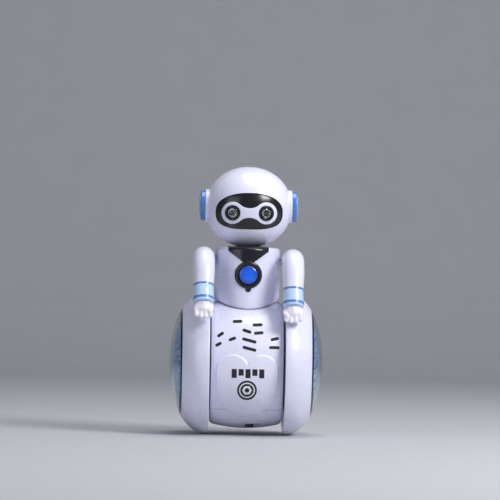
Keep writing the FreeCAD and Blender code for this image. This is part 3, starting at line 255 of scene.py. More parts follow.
def button_painted_glow_material():
    """Bright blue, painted lighter in the middle as a painted highlight, with a faint painted glow through
    emission.
    """
    mat = new_material("button_blue_painted_glow", (0.01, 0.11, 0.72), 0.22, Coat_Weight=0.5)
    coordinates = add(mat, "ShaderNodeTexCoord")
    middle = add(mat, "ShaderNodeMapping", Location=(0, 0, -BUTTON_Z))
    flat = add(mat, "ShaderNodeVectorMath", operation="MULTIPLY")
    flat.inputs[1].default_value = (1, 0, 1)
    reach = add(mat, "ShaderNodeVectorMath", operation="LENGTH")
    ramp = add(mat, "ShaderNodeValToRGB")
    noise = place_noise(mat, 900, 3.0)
    ripple = add(mat, "ShaderNodeMath", operation="MULTIPLY_ADD")
    ripple.inputs[1].default_value = 0.0006
    scaled = add(mat, "ShaderNodeMath", operation="DIVIDE")
    scaled.inputs[1].default_value = 4.3 * MM
    # Painted highlight: the ramp is lightest at the button's middle and darker towards its edge.
    ramp.color_ramp.elements[0].color = (0.010, 0.115, 0.72, 1)
    ramp.color_ramp.elements[1].color = (0.010, 0.05, 0.30, 1)
    ramp.color_ramp.elements[0].position = 0.45
    ramp.color_ramp.elements[1].position = 1.0
    link(mat, coordinates.outputs["Object"], middle.inputs["Vector"])
    link(mat, middle.outputs["Vector"], flat.inputs[0])
    link(mat, flat.outputs["Vector"], reach.inputs[0])
    link(mat, noise.outputs["Fac"], ripple.inputs[0])
    link(mat, reach.outputs["Value"], ripple.inputs[2])
    link(mat, ripple.outputs["Value"], scaled.inputs[0])
    link(mat, scaled.outputs["Value"], ramp.inputs["Fac"])
    link(mat, ramp.outputs["Color"], shader_of(mat).inputs["Base Color"])
    # Painted glow: the same gradient drives a faint emission, with no lamp modelled behind the button.
    link(mat, ramp.outputs["Color"], shader_of(mat).inputs["Emission Color"])
    shader_of(mat).inputs["Emission Strength"].default_value = 0.12
    return mat


def wheel_print_material():
    """White disc printed with swirling blue bands and thin dark outlines."""
    mat = new_material("wheel_print", (0.6, 0.75, 0.95), 0.35)
    coordinates = add(mat, "ShaderNodeTexCoord")
    centre = add(mat, "ShaderNodeMapping", Location=(0, 0, -AXLE_Z))
    warp = place_noise(mat, 55, 2.0)
    shift = add(mat, "ShaderNodeVectorMath", operation="MULTIPLY_ADD")
    shift.inputs[1].default_value = (0.0, 0.030, 0.030)
    wave = add(mat, "ShaderNodeTexWave", Scale=52.0, Distortion=5.0, Detail=2.0, wave_type="RINGS",
               rings_direction="X")
    ramp = add(mat, "ShaderNodeValToRGB")
    stops = ((0.0, (0.60, 0.72, 0.92)), (0.36, (0.46, 0.63, 0.92)), (0.52, (0.22, 0.45, 0.84)),
             (0.70, (0.08, 0.25, 0.64)), (0.80, (0.02, 0.06, 0.20)), (0.86, (0.32, 0.54, 0.88)),
             (1.0, (0.62, 0.74, 0.93)))
    for position, colour in stops[1:-1]:
        ramp.color_ramp.elements.new(position).color = (*colour, 1)
    ramp.color_ramp.elements[0].color = (*stops[0][1], 1)
    ramp.color_ramp.elements[-1].color = (*stops[-1][1], 1)
    link(mat, coordinates.outputs["Object"], centre.inputs["Vector"])
    link(mat, warp.outputs["Color"], shift.inputs[0])
    link(mat, centre.outputs["Vector"], shift.inputs[2])
    link(mat, shift.outputs["Vector"], wave.inputs["Vector"])
    link(mat, wave.outputs["Fac"], ramp.inputs["Fac"])
    link(mat, ramp.outputs["Color"], shader_of(mat).inputs["Base Color"])
    vary_roughness(mat, 0.28, 0.42, 300)
    return mat


cast_iron = cast_iron_material()
circuit_board = circuit_board_material()
cap_clear = clear_plastic("cap_clear", (0.80, 0.90, 1.0))
lens_clear = clear_plastic("lens_clear", (0.93, 0.94, 0.96))
led_clear = clear_plastic("led_clear", (0.85, 0.86, 0.88), 0.12)
button_blue_painted_glow = button_painted_glow_material()
wheel_print = wheel_print_material()

SLOT_MATERIAL = {
    "white_shell": white_plastic, "blue_cuff": cuff_plastic, "wheel_print": wheel_print,
    "clear_cap": cap_clear, "clear_lens": lens_clear, "black_gloss": black_gloss,
    "black_matte": black_matte, "blue_button": button_blue_painted_glow, "ear_cap": ear_pale, "steel": steel,
    "ballast_iron": cast_iron, "brass": brass, "gear_plastic": gear_plastic,
    "circuit_board": circuit_board,
}


def dress_cad_nodes():
    """Every CAD node gets the material of its slot."""
    slot_of = {part["node"]: part["material_slot"] for part in frame["record"]["subparts"]}
    for name, node in frame["nodes"].items():
        node.data.materials.clear()
        node.data.materials.append(SLOT_MATERIAL[slot_of[name]])


# ---------------------------------------------------------------- mesh helpers

def add_to_scene(name, data):
    item = bpy.data.objects.new(name, data)
    bpy.context.scene.collection.objects.link(item)
    return item


def make_object(name, points, faces, material, smooth_angle=40):
    mesh = bpy.data.meshes.new(name)
    mesh.from_pydata([tuple(p) for p in points], [], faces)
    mesh.validate()
    item = add_to_scene(name, mesh)
    mesh.materials.append(material)
    shade(item, smooth_angle)
    return item


def solid(name, points, faces, material, smooth_angle=40):
    """A closed mesh, merged, turned outwards and shaded."""
    item = make_object(name, points, faces, material)
    tidy_mesh(item)
    shade(item, smooth_angle)
    return item


def shade(item, angle=40):
    """Smooth shading, with edges sharper than angle kept crisp."""
    mesh = item.data
    mesh.polygons.foreach_set("use_smooth", [True] * len(mesh.polygons))
    mesh.set_sharp_from_angle(angle=math.radians(angle))
    mesh.update()


def tidy_mesh(item, distance=1e-6):
    """Merges doubled points and turns every face outwards."""
    work = bmesh.new()
    work.from_mesh(item.data)
    bmesh.ops.remove_doubles(work, verts=work.verts, dist=distance)
    bmesh.ops.dissolve_degenerate(work, dist=distance / 2, edges=work.edges)
    bmesh.ops.recalc_face_normals(work, faces=work.faces)
    work.to_mesh(item.data)
    work.free()


def closed_shell(name, top, bottom, material, wrap=False, smooth_angle=40):
    """A closed solid between two grids of points of the same size. wrap joins the last column to the
    first."""
    top, bottom = np.asarray(top, float), np.asarray(bottom, float)
    rows, columns = top.shape[:2]

    def index(layer, r, c):
        return layer * rows * columns + r * columns + c % columns

    faces = []
    spans = columns if wrap else columns - 1
    for r in range(rows - 1):
        for c in range(spans):
            faces.append((index(0, r, c), index(0, r, c + 1), index(0, r + 1, c + 1), index(0, r + 1, c)))
            faces.append((index(1, r, c), index(1, r + 1, c), index(1, r + 1, c + 1), index(1, r, c + 1)))
    for r in (0, rows - 1):
        for c in range(spans):
            faces.append((index(0, r, c), index(1, r, c), index(1, r, c + 1), index(0, r, c + 1)))
    if not wrap:
        for c in (0, columns - 1):
            for r in range(rows - 1):
                faces.append((index(0, r, c), index(0, r + 1, c), index(1, r + 1, c), index(1, r, c)))
    points = np.concatenate([top.reshape(-1, 3), bottom.reshape(-1, 3)])
    return solid(name, points, faces, material, smooth_angle)


def lathe(name, profile, place, material, steps=160, axis="X", smooth_angle=40):
    """A closed profile of (along, radius) pairs turned about the X, Y or Z axis through place."""
    count = len(profile)
    points, faces = [], []
    for k in range(steps):
        angle = 2 * math.pi * k / steps
        for along, radius in profile:
            u, v = radius * math.cos(angle), radius * math.sin(angle)
            points.append({"X": (along, u, v), "Y": (u, along, v), "Z": (u, v, along)}[axis])
    for k in range(steps):
        for p in range(count):
            q, here, ahead = (p + 1) % count, k * count, (k + 1) % steps * count
            faces.append((here + p, here + q, ahead + q, ahead + p))
    return solid(name, [Vector(p) + Vector(place) for p in points], faces, material, smooth_angle)


def rounded(corners, radii, segments=5):
    """A closed polygon's corners rounded with small arcs; a radius of 0 keeps the corner."""
    result = []
    for k, corner in enumerate(corners):
        radius = radii[k] if isinstance(radii, (list, tuple)) else radii
        here = np.array(corner, float)
        before, after = np.array(corners[k - 1], float), np.array(corners[(k + 1) % len(corners)], float)
        to_before, to_after = before - here, after - here
        length_before, length_after = np.linalg.norm(to_before), np.linalg.norm(to_after)
        if radius <= 0:
            result.append(tuple(here))
            continue
        reach = min(radius, length_before / 2.05, length_after / 2.05)
        start, end = here + to_before / length_before * reach, here + to_after / length_after * reach
        for step in range(segments + 1):
            t = step / segments
            result.append(tuple((1 - t) ** 2 * start + 2 * t * (1 - t) * here + t ** 2 * end))
    return result


def superellipse(a, b, power, steps):
    """Quarter curve from (a, 0) to (0, b)."""
    angles = np.linspace(0, math.pi / 2, steps)
    return [(a * max(math.cos(t), 0) ** (2 / power), b * math.sin(t) ** (2 / power)) for t in angles]


def apply_modifiers(item):
    """Puts the mesh that the item's modifiers make in place of its own."""
    bpy.context.view_layer.update()
    made = bpy.data.meshes.new_from_object(item.evaluated_get(bpy.context.evaluated_depsgraph_get()))
    item.modifiers.clear()
    old, item.data = item.data, made
    bpy.data.meshes.remove(old)


def boolean(item, tools, smooth_angle=40):
    """Cuts item with each tool, removes the tools and shades it again."""
    for tool in tools:
        change = item.modifiers.new("boolean", "BOOLEAN")
        change.operation = "DIFFERENCE"
        change.solver = "EXACT"
        change.object = tool
    apply_modifiers(item)
    for tool in tools:
        bpy.data.objects.remove(tool)
    shade(item, smooth_angle)


def prism(name, outline, y_start, y_end):
    """A closed prism along Y over an outline of (x, z) points."""
    count = len(outline)
    points = [(x, y_start, z) for x, z in outline] + [(x, y_end, z) for x, z in outline]
    faces = [tuple(range(count)), tuple(range(2 * count - 1, count - 1, -1))]
    faces += [(k, k + count, (k + 1) % count + count, (k + 1) % count) for k in range(count)]
    item = make_object(name, points, faces, white_plastic)
    tidy_mesh(item)
    return item


def rod_tool(name, axis, radius, start, end, place, steps=48):
    """A plain closed cylinder used only to cut."""
    return lathe(name, [(start, 0.0), (start, radius), (end, radius), (end, 0.0)], place, white_plastic,
                 steps, axis)


def screw_wells(x, z, start):
    """Two tools that sink the screw heads into a rear shell, at x and -x and height z in millimetres."""
    return [rod_tool("well", "Y", SCREW_WELL_R, start, 40 * MM, point(side * x, 0, z)) for side in (-1, 1)]


def join(name, items):
    """Several meshes as one object."""
    with bpy.context.temp_override(active_object=items[0], selected_editable_objects=items):
        bpy.ops.object.join()
    items[0].name = name
    return items[0]


def mirror_copy(item, name):
    """The piece's copy on the other side of the robot's middle plane."""
    mesh = item.data.copy()
    mesh.transform(Matrix.Scale(-1, 4, (1, 0, 0)))
    mesh.flip_normals()
    return add_to_scene(name, mesh)


def settle(item, body, slot, *nodes):
    """The piece rides on its body and stands for the CAD nodes, which it hides. The slot is not used."""
    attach(item, body)
    if nodes:
        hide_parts(*nodes)
    return item


# ---------------------------------------------------------------- surfaces

def crown(x):
    """The barrel's radius at x."""
    return BARREL_R - CROWN_R + np.sqrt(CROWN_R ** 2 - np.asarray(x) ** 2)


def barrel_front_y(x, z):
    return -np.sqrt(np.maximum(crown(x) ** 2 - (np.asarray(z) - AXLE_Z) ** 2, 0))


def torso_front_y(x, _z):
    """The torso's straight front, the same at each height."""
    return -TORSO_B * np.sqrt(np.maximum(1 - (np.asarray(x) / TORSO_A) ** 2, 0))


def head_radius(z):
    """The head's radius about Z at a height."""
    rise = np.asarray(z, float) - HEAD_Z
    power = np.where(rise > 0, HEAD_TOP_POWER, HEAD_LOW_POWER)
    share = np.clip(np.abs(rise) / HEAD_HALF, 0, 1)
    return HEAD_R * (1 - share ** power) ** (1 / power)


def head_front_y(x, z):
    return -np.sqrt(np.maximum(head_radius(z) ** 2 - np.asarray(x) ** 2, 0))


def level(z):
    """A curve of x that stays at height z."""
    return lambda x: np.full_like(x, z)


# ---------------------------------------------------------------- wheels

def dome_curve(depth, radius, start, end, steps=40):
    """Points of the wheel's dome between two depths, from start to end."""
    depths = np.linspace(start, end, steps)
    if abs(end - depth) < 1e-9 or abs(start - depth) < 1e-9:
        t = np.linspace(math.asin(min(1, start / depth)), math.asin(min(1, end / depth)), steps)
        depths = depth * np.sin(t)
    return [(d, radius * max(0.0, 1 - (d / depth) ** DOME_POWER) ** (1 / DOME_POWER)) for d in depths]


def make_wheels():
    wall = 1.5 * MM
    rim_edge = dome_curve(DOME_DEPTH, WHEEL_R, 0.5 * MM, RIM_DEPTH - 0.12 * MM)
    lip_r = rim_edge[-1][1]
    inner = dome_curve(DOME_DEPTH - wall, WHEEL_R - wall, RIM_DEPTH - 0.01 * MM, 2.4 * MM, 20)
    steps = mm_pairs(((0.5, 2.2), (0.5, 8), (0, 8.6), (0, 19), (0.45, 19.6), (0.45, 26.2), (0, 26.8)))
    face = rounded(steps + [(0, WHEEL_R), rim_edge[1]], [0] + [0.2 * MM] * 6 + [0.55 * MM, 0])
    profile = face + rim_edge[2:-1]
    profile += rounded([rim_edge[-2], (RIM_DEPTH, lip_r), (RIM_DEPTH, lip_r - 2.4 * MM), inner[1]],
                       [0, 0.3 * MM, 0.2 * MM, 0])[1:]
    profile += inner[2:] + mm_pairs(((2.0, 5), (8, 4), (8, 2.2)))
    drum = lathe("left_drum", profile, (WHEEL_X, 0, AXLE_Z), white_plastic, 192)
    cap_wall, seat = 1.0 * MM, RIM_DEPTH + 0.05 * MM
    outer = dome_curve(DOME_DEPTH, WHEEL_R, seat, DOME_DEPTH, 48)
    inside = dome_curve(DOME_DEPTH - cap_wall, WHEEL_R - cap_wall, DOME_DEPTH - cap_wall, seat, 48)
    cap = lathe("left_cap", [(seat + 0.1 * MM, outer[0][1] - 0.15 * MM)] + outer[1:] + inside,
                (WHEEL_X, 0, AXLE_Z), cap_clear, 192)
    inset, skin = 1.35 * MM, 0.8 * MM
    outer = dome_curve(DOME_DEPTH - inset, WHEEL_R - inset, RIM_DEPTH + 0.02 * MM, DOME_DEPTH - inset, 40)
    inside = dome_curve(DOME_DEPTH - inset - skin, WHEEL_R - inset - skin, DOME_DEPTH - inset - skin,
                        RIM_DEPTH + 0.02 * MM, 40)
    insert = lathe("left_side_disc", outer + inside, (WHEEL_X, 0, AXLE_Z), wheel_print, 160)
    for piece, node, slot in ((drum, "wheel_drum", "white_shell"), (cap, "wheel_cap", "clear_cap"),
                              (insert, "wheel_insert", "wheel_print")):
        other = mirror_copy(piece, piece.name.replace("left", "right"))
        settle(piece, "wheels", slot, "left_" + node)
        settle(other, "wheels", slot, "right_" + node)


# ---------------------------------------------------------------- barrel

HEART_LOBE_R, HEART_LOBE_X, HEART_TOP = 6.7 * MM, 6.13 * MM, 34.0 * MM


def heart_outline():
    """Half of the heart panel's outline from the notch to the tip, as (x, z) points."""
    lobe_z = HEART_TOP - HEART_LOBE_R
    notch = math.atan2(math.sqrt(HEART_LOBE_R ** 2 - HEART_LOBE_X ** 2), -HEART_LOBE_X)
    half = [(HEART_LOBE_X + HEART_LOBE_R * math.cos(t), lobe_z + HEART_LOBE_R * math.sin(t))
            for t in np.linspace(notch, 0, 40)]
    side = half[-1][0]
    half += [(side, z) for z in np.linspace(lobe_z, 21.7 * MM, 8)[1:]]
    low = np.array(((side, 21.7 * MM), (side - 0.3 * MM, 14.7 * MM), (TONGUE_X, SEAM_Z)))
    half += [tuple((1 - t) ** 2 * low[0] + 2 * t * (1 - t) * low[1] + t * t * low[2])
             for t in np.linspace(0, 1, 14)[1:]]
    half += [(x, seam_height(x)) for x in np.linspace(TONGUE_X, 0, 14)[1:]]
    return half


def seam_height(x):
    """The bottom seam on the front: straight, with a rounded tongue in the middle."""
    x = np.abs(np.asarray(x, float))
    share = np.clip(1 - (x / TONGUE_X) ** 2, 0, 1)
    return SEAM_Z - (SEAM_Z - TONGUE_Z) * share ** 1.15


def distance_inside(x, z, outline):
    """Signed distance to a closed outline, positive inside, for arrays of points."""
    line = np.asarray(outline)
    ends = np.roll(line, -1, axis=0)
    best = np.full(x.shape, 1e9)
    inside = np.zeros(x.shape, bool)
    for (ax, az), (bx, bz) in zip(line, ends):
        dx, dz = bx - ax, bz - az
        length = dx * dx + dz * dz + 1e-18
        t = np.clip(((x - ax) * dx + (z - az) * dz) / length, 0, 1)
        best = np.minimum(best, np.hypot(x - ax - t * dx, z - az - t * dz))
        crosses = ((az > z) != (bz > z)) & (x < dx * (z - az) / (dz + 1e-18) + ax)
        inside ^= crosses
    return np.where(inside, best, -best)


def barrel_profile(inset=0.0):
    """The barrel's outline as (x, radius), from the left end face's middle to the right one's."""
    end_r = float(crown(BARREL_X)) - inset
    edge = BARREL_EDGE
    half = [(BARREL_X - inset, r) for r in np.linspace(3 * MM, end_r - edge, 5)]
    half += [(BARREL_X - inset - edge * (1 - math.cos(t)), end_r - edge + edge * math.sin(t))
             for t in np.linspace(0, math.pi / 2, 7)[1:]]
    top = [(x, float(crown(x)) - inset) for x in np.linspace(BARREL_X - inset - edge, 0, 56)[1:]]
    half += top
    return [(-x, r) for x, r in half[:-1]] + half[::-1]


def barrel_patch(name, start_angle, end_angle, rows, relief=False):
    """A closed piece of barrel wall. Angles are functions of x, measured from straight up to the front."""
    outer_profile, inner_profile = barrel_profile(), barrel_profile(BARREL_WALL)

    def grid(profile, lift, ease):
        table = np.zeros((rows, len(profile), 3))
        for c, (x, radius) in enumerate(profile):
            first, last = start_angle(outer_profile[c][0]), end_angle(outer_profile[c][0])
            angles = np.linspace(first, last, rows)
            radii = np.full(rows, radius)
            if ease:
                gap = np.minimum(np.abs(angles - first), np.abs(angles - last)) * radius
                radii = radii - 0.16 * MM * np.clip(1 - gap / (0.35 * MM), 0, 1) ** 2
            table[:, c, 0] = x
            table[:, c, 1] = -radii * np.sin(angles)
            table[:, c, 2] = AXLE_Z + radii * np.cos(angles)
        if lift:
            table = raise_heart(table)
        return table

    return closed_shell(name, grid(outer_profile, relief, True), grid(inner_profile, False, False),
                        white_plastic)


def heart_height(z):
    """How far the heart panel stands off the wall: full at its lobes, fading towards its tip."""
    return 0.45 * MM * (0.15 + 0.85 * np.clip((z - 13 * MM) / (13 * MM), 0, 1))


def raise_heart(table):
    """Lifts the heart panel off the barrel's wall."""
    half = heart_outline()
    outline = half + [(-x, z) for x, z in half[::-1][1:-1]]
    x, z = table[..., 0], table[..., 2]
    inside = distance_inside(x, z, outline)
    height = heart_height(z) * np.clip(inside / (0.3 * MM) + 0.4, 0, 1)
    height[(table[..., 1] > -3 * MM) | (np.abs(x) > BARREL_X - BARREL_EDGE)] = 0
    radial = np.stack([np.zeros_like(x), table[..., 1], z - AXLE_Z], axis=-1)
    radial /= np.linalg.norm(radial, axis=-1, keepdims=True) + 1e-12
    return table + radial * height[..., None]


SPEAKER_SLOTS = (
    (-4.3, 47.7, 4.0, 3), (4.0, 46.4, 4.2, 3), (-0.4, 43.8, 3.8, -17), (4.5, 43.1, 4.0, 6),
    (0.6, 40.0, 6.1, -14), (0.7, 36.6, 5.9, -14), (-11.3, 42.2, 3.2, 35), (-6.4, 40.5, 3.2, 22),
    (-12.1, 38.2, 2.9, 30), (11.2, 40.7, 3.6, 12), (11.0, 37.2, 4.4, 0),
)


def slot_outline(x, z, length, slope, width=1.3):
    """A round-ended slot as (x, z) points in metres."""
    run, turn = (length - width) / 2, math.radians(slope)
    shape = []
    for side, first in ((1, -math.pi / 2), (-1, math.pi / 2)):
        for t in np.linspace(first, first + math.pi, 9):
            u, v = side * run + width / 2 * math.cos(t), width / 2 * math.sin(t)
            shape.append(((x + u * math.cos(turn) - v * math.sin(turn)) * MM,
                          (z + u * math.sin(turn) + v * math.cos(turn)) * MM))
    return shape


def make_barrel():
    def angle_at(x, z):
        return math.acos((z - AXLE_Z) / float(crown(min(abs(x), BARREL_X))))

    def seam_angle(x):
        return angle_at(x, float(seam_height(x)))

    def straight(x):
        return angle_at(x, SEAM_Z)

    gap = 0.13 * MM / BARREL_R
    front = barrel_patch("belly_front", lambda x: gap, lambda x: seam_angle(x) - gap, 240, True)
    slots = [prism("slot", slot_outline(*slot), -30 * MM, -10 * MM) for slot in SPEAKER_SLOTS]
    boolean(front, slots, SHELL_ANGLE)
    settle(front, "body", "white_shell", "barrel_front_shell")
    # Painted shade: a dark sheet behind the sound slots darkens them.
    make_slot_shade_sheet()
    rear = barrel_patch("belly_rear", lambda x: -gap, lambda x: -straight(x) + gap, 150)
    boolean(rear, screw_wells(9, 47.6, 10 * MM), SHELL_ANGLE)
    settle(rear, "body", "white_shell", "barrel_rear_shell")
    cover = barrel_patch("belly_cover", lambda x: seam_angle(x) + gap,
                         lambda x: 2 * math.pi - straight(x) - gap, 110)
    tools = [rod_tool("cover_well", "Z", SCREW_WELL_R, 0, 8.2 * MM, point(side * 9, 13.5, 0))
             for side in (-1, 1)]
    boolean(cover, tools + [power_slot_tool()], SHELL_ANGLE)
    settle(cover, "body", "white_shell", "bottom_cover")


def make_slot_shade_sheet():
    """A dark curved sheet just behind the sound slots: painted shade that keeps the slots dark."""
    slot_shade_sheet = strip_patch("sound_slot_painted_shade", 14.0 * MM, level(49.6 * MM), level(34.6 * MM),
                        lambda x, z: barrel_front_y(x, z) + 0.75 * MM, 0.0, 0.3 * MM, black_matte, 60, 30,
                        0.05 * MM)
    settle(slot_shade_sheet, "body", "black_matte")


def power_slot_tool():
    low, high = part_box("slide_switch")
    middle = (low.x + high.x) / 2
    outline = slot_outline(0, 0, 7.0, 0, 2.6)
    tool = prism("power_slot", outline, 21 * MM, 32 * MM)
    tool.data.transform(Matrix.Rotation(math.radians(-90), 4, "X"))
    tool.data.transform(Matrix.Rotation(math.radians(-20), 4, "X"))
    tool.data.transform(Matrix.Translation((middle, 0, AXLE_Z)))
    return tool


# ---------------------------------------------------------------- patches on a surface

def quad_rows(rows, around):
    """The faces between rows of points that each go once around."""
    return [(r * around + c, r * around + (c + 1) % around, (r + 1) * around + (c + 1) % around,
             (r + 1) * around + c) for r in range(rows - 1) for c in range(around)]


def disc_patch(name, centre, rings, surface, material, steps=96, smooth_angle=40):
    """A closed turned form about Y whose rings (radius, height) stand off a surface(x, z)."""
    cx, cz = centre
    turn = np.linspace(0, 2 * math.pi, steps, endpoint=False)
    table = np.zeros((len(rings), steps, 3))
    for k, (radius, height) in enumerate(rings):
        x, z = cx + radius * np.cos(turn), cz + radius * np.sin(turn)
        table[k, :, 0], table[k, :, 1], table[k, :, 2] = x, surface(x, z) - height, z
    faces = quad_rows(len(rings), steps)
    if rings[0] != rings[-1]:
        faces.append(tuple(range(steps)))
        faces.append(tuple((len(rings) - 1) * steps + c for c in range(steps - 1, -1, -1)))
    return solid(name, table.reshape(-1, 3), faces, material, smooth_angle)


def strip_patch(name, half_width, upper, lower, surface, height, depth, material, columns=120, rows=40,
                edge=0.4 * MM, smooth_angle=40):
    """A closed plate over the region between two curves z(x), standing height off a surface, with a
    rounded edge."""
    turn = np.linspace(-math.pi / 2, math.pi / 2, columns)
    x = half_width * np.sin(turn)
    share = (1 - np.cos(np.linspace(0, math.pi, rows))) / 2
    high, low = upper(x), lower(x)
    grid_x = np.repeat(x[None, :], rows, 0)
    grid_z = low[None, :] + (high - low)[None, :] * share[:, None]
    outline = list(zip(x, high)) + list(zip(x[::-1], low[::-1]))
    inside = np.maximum(distance_inside(grid_x, grid_z, outline), 0)
    inside[0], inside[-1], inside[:, 0], inside[:, -1] = 0, 0, 0, 0
    ease = np.clip(inside / edge, 0, 1)
    fall = (1 - np.sqrt(np.maximum(1 - (1 - ease) ** 2, 0))) * edge
    top_y = surface(grid_x, grid_z) - height + fall
    low_y = surface(grid_x, grid_z) + depth
    top = np.stack([grid_x, top_y, grid_z], axis=-1)
    bottom = np.stack([grid_x, low_y, grid_z], axis=-1)
    return closed_shell(name, top, bottom, material, smooth_angle=smooth_angle)


# ---------------------------------------------------------------- torso

def torso_rings():
    """Half axes and height of each ring above the straight side, up to the neck."""
    def dome(r):
        return TORSO_TOP - TORSO_DOME + math.sqrt(TORSO_DOME ** 2 - r ** 2)

    rings = []
    edge_top = dome(TORSO_A - TORSO_EDGE)
    for t in np.linspace(0, math.pi / 2, 10):
        inset = TORSO_EDGE * (1 - math.cos(t))
        rings.append((TORSO_A - inset, TORSO_B - inset, edge_top - TORSO_EDGE + TORSO_EDGE * math.sin(t)))
    a, b, _ = rings[-1]
    for share in np.linspace(0, 1, 8)[1:]:
        ra, rb = a + (NECK_R - a) * share, b + (NECK_R - b) * share
        rings.append((ra, rb, dome((ra + rb) / 2)))
    return rings


def torso_grid(inset, side, columns, seam_gap, low_lift):
    """Columns of points from the lower edge, which follows the barrel, up to the neck."""
    rings = torso_rings()
    straight = 26
    table = np.zeros((straight + len(rings), columns, 3))

    def span(b):
        limit = math.acos(min(1, max(-1, -TORSO_SEAM_Y / b)))
        if side == "front":
            return np.linspace(-limit + seam_gap / b, limit - seam_gap / b, columns)
        return np.linspace(limit + seam_gap / b, 2 * math.pi - limit - seam_gap / b, columns)

    a, b = TORSO_A - inset, TORSO_B - inset
    turn = span(b)
    x, y = a * np.sin(turn), -b * np.cos(turn)
    foot = AXLE_Z + np.sqrt(crown(x) ** 2 - y ** 2) + low_lift
    top = rings[0][2]
    for k in range(straight):
        share = (k / straight) ** 1.25
        ease = 0.25 * MM * max(0, 1 - k / 2.5) ** 2 if low_lift > 0 else 0
        table[k, :, 0], table[k, :, 1] = x * (1 - ease / a), y * (1 - ease / b)
        table[k, :, 2] = foot + (top - foot) * share
    for k, (ra, rb, z) in enumerate(rings):
        turn = span(rb - inset)
        table[straight + k, :, 0] = (ra - inset) * np.sin(turn)
        table[straight + k, :, 1] = -(rb - inset) * np.cos(turn)
        table[straight + k, :, 2] = z - (inset if inset < 1.5 * MM else 1.5 * MM)
    return table


def make_torso():
    for side, columns, node in (("front", 120, "torso_front_shell"), ("rear", 160, "torso_rear_shell")):
        skin = closed_shell(f"torso_{side}", torso_grid(0, side, columns, SIDE_GAP, GROOVE),
                            torso_grid(1.3 * MM, side, columns, SIDE_GAP, GROOVE), white_plastic)
        # Painted shade: a black lip inside the lower edge darkens the groove where the torso meets the
        # barrel.
        painted_shade_lip = closed_shell(f"torso_{side}_lip", torso_grid(0.75 * MM, side, columns, 0, 0.02 * MM)[:32],
                           torso_grid(1.4 * MM, side, columns, 0, 0.02 * MM)[:32], black_matte)
        if side == "front":
            tool = rod_tool("bezel_hole", "Y", 5.5 * MM, -30 * MM, -8 * MM, (0, 0, BUTTON_Z), 96)
            boolean(skin, [tool], SHELL_ANGLE)
        else:
            boolean(skin, screw_wells(10.4, 62, 8 * MM), SHELL_ANGLE)
        settle(skin, "body", "white_shell", node)
        settle(painted_shade_lip, "body", "black_matte")
    make_chest()


def make_collar():
    """The black wedge that runs from the button up over the torso's edge to the neck."""
    foot_z, foot_half, top_half, lift, sunk = 72.4 * MM, 2.4 * MM, 8.4 * MM, 0.25 * MM, 0.5 * MM
    rings = torso_rings()
    edge_z = rings[0][2]
    levels = [(TORSO_A, TORSO_B, z) for z in np.linspace(foot_z, edge_z, 12)[:-1]] + rings
    across = np.linspace(-1, 1, 33)

    def grid(grow):
        table = np.zeros((len(levels), len(across), 3))
        for k, (ra, rb, z) in enumerate(levels):
            wide = foot_half + (top_half - foot_half) * min(1, (z - foot_z) / (edge_z - foot_z))
            x = across * min(wide, 0.92 * ra)
            drop = 0.9 * MM * (1 - across ** 2) if k == 0 else 0
            table[k, :, 0] = x
            table[k, :, 1] = -(rb + grow) * np.sqrt(1 - (x / (ra + grow)) ** 2)
            table[k, :, 2] = z + (grow if z > edge_z else 0) - drop
        return table

    wedge = closed_shell("chest_wedge", grid(lift), grid(-sunk), black_gloss)
    settle(wedge, "body", "black_gloss", "chest_collar")


def make_chest():
    make_collar()
    ring = mm_pairs(((5.75, -1.6), (5.75, 0.25), (5.62, 0.5), (5.35, 0.66), (4.9, 0.72), (4.45, 0.62),
                     (4.1, 0.42), (3.95, 0.15), (3.95, -1.6), (5.75, -1.6)))
    bezel = disc_patch("chest_ring", (0, BUTTON_Z), ring, torso_front_y, black_gloss)
    settle(bezel, "body", "black_gloss", "button_bezel")
    drop = mm_pairs(((1.25, -0.8), (1.25, 0.1), (1.05, 0.3), (0.6, 0.42), (0.05, 0.45)))
    nub = disc_patch("chest_drop", (0, 61.1 * MM), drop, torso_front_y, black_gloss, 48)
    settle(nub, "body", "black_gloss")
    key = ((3.85, -2.2), (3.85, 0.3), (3.75, 0.55), (3.5, 0.72), (3.0, 0.86), (2.2, 0.98), (1.2, 1.05),
           (0.05, 1.08))
    button = disc_patch("chest_key", (0, BUTTON_Z), [(r * MM, (h - 0.02) * MM) for r, h in key],
                        lambda x, z: torso_front_y(x * 0.45, z), button_blue_painted_glow)
    settle(button, "chest_button", "blue_button", "chest_button")


# ---------------------------------------------------------------- head

def head_profile(inset=0.0, steps=44):
    """(radius, z) from the neck opening up to the crown."""
    radius, half = HEAD_R - inset, HEAD_HALF - inset
    low = [(a, HEAD_Z - b) for a, b in superellipse(radius, half, HEAD_LOW_POWER, steps)]
    low = [(a, z) for a, z in low if a > 5.4 * MM][::-1]
    start_z = HEAD_Z - half * (1 - (5.2 * MM / radius) ** HEAD_LOW_POWER) ** (1 / HEAD_LOW_POWER)
    high = [(a, HEAD_Z + b) for a, b in superellipse(radius, half, HEAD_TOP_POWER, steps)]
    return [(5.2 * MM, start_z)] + low + high[1:-1] + [(0.02 * MM, HEAD_Z + half)]


def head_half(name, side):
    """Half of the head's skin, front or rear of the ears."""
    gap = 0.05 * MM / HEAD_R
    turn = np.linspace(gap, math.pi - gap, 180)

    def grid(inset, ease):
        profile = head_profile(inset)
        table = np.zeros((len(profile), len(turn), 3))
        for k, (radius, z) in enumerate(profile):
            radii = np.full(len(turn), radius)
            if ease:
                edge = np.minimum(turn, math.pi - turn) * radius
                radii = radii - 0.10 * MM * np.clip(1 - edge / (0.3 * MM), 0, 1) ** 2
            table[k, :, 0], table[k, :, 1] = radii * np.cos(turn), side * radii * np.sin(turn)
            table[k, :, 2] = z
        return table

    return closed_shell(name, grid(0, True), grid(1.4 * MM, False), white_plastic)


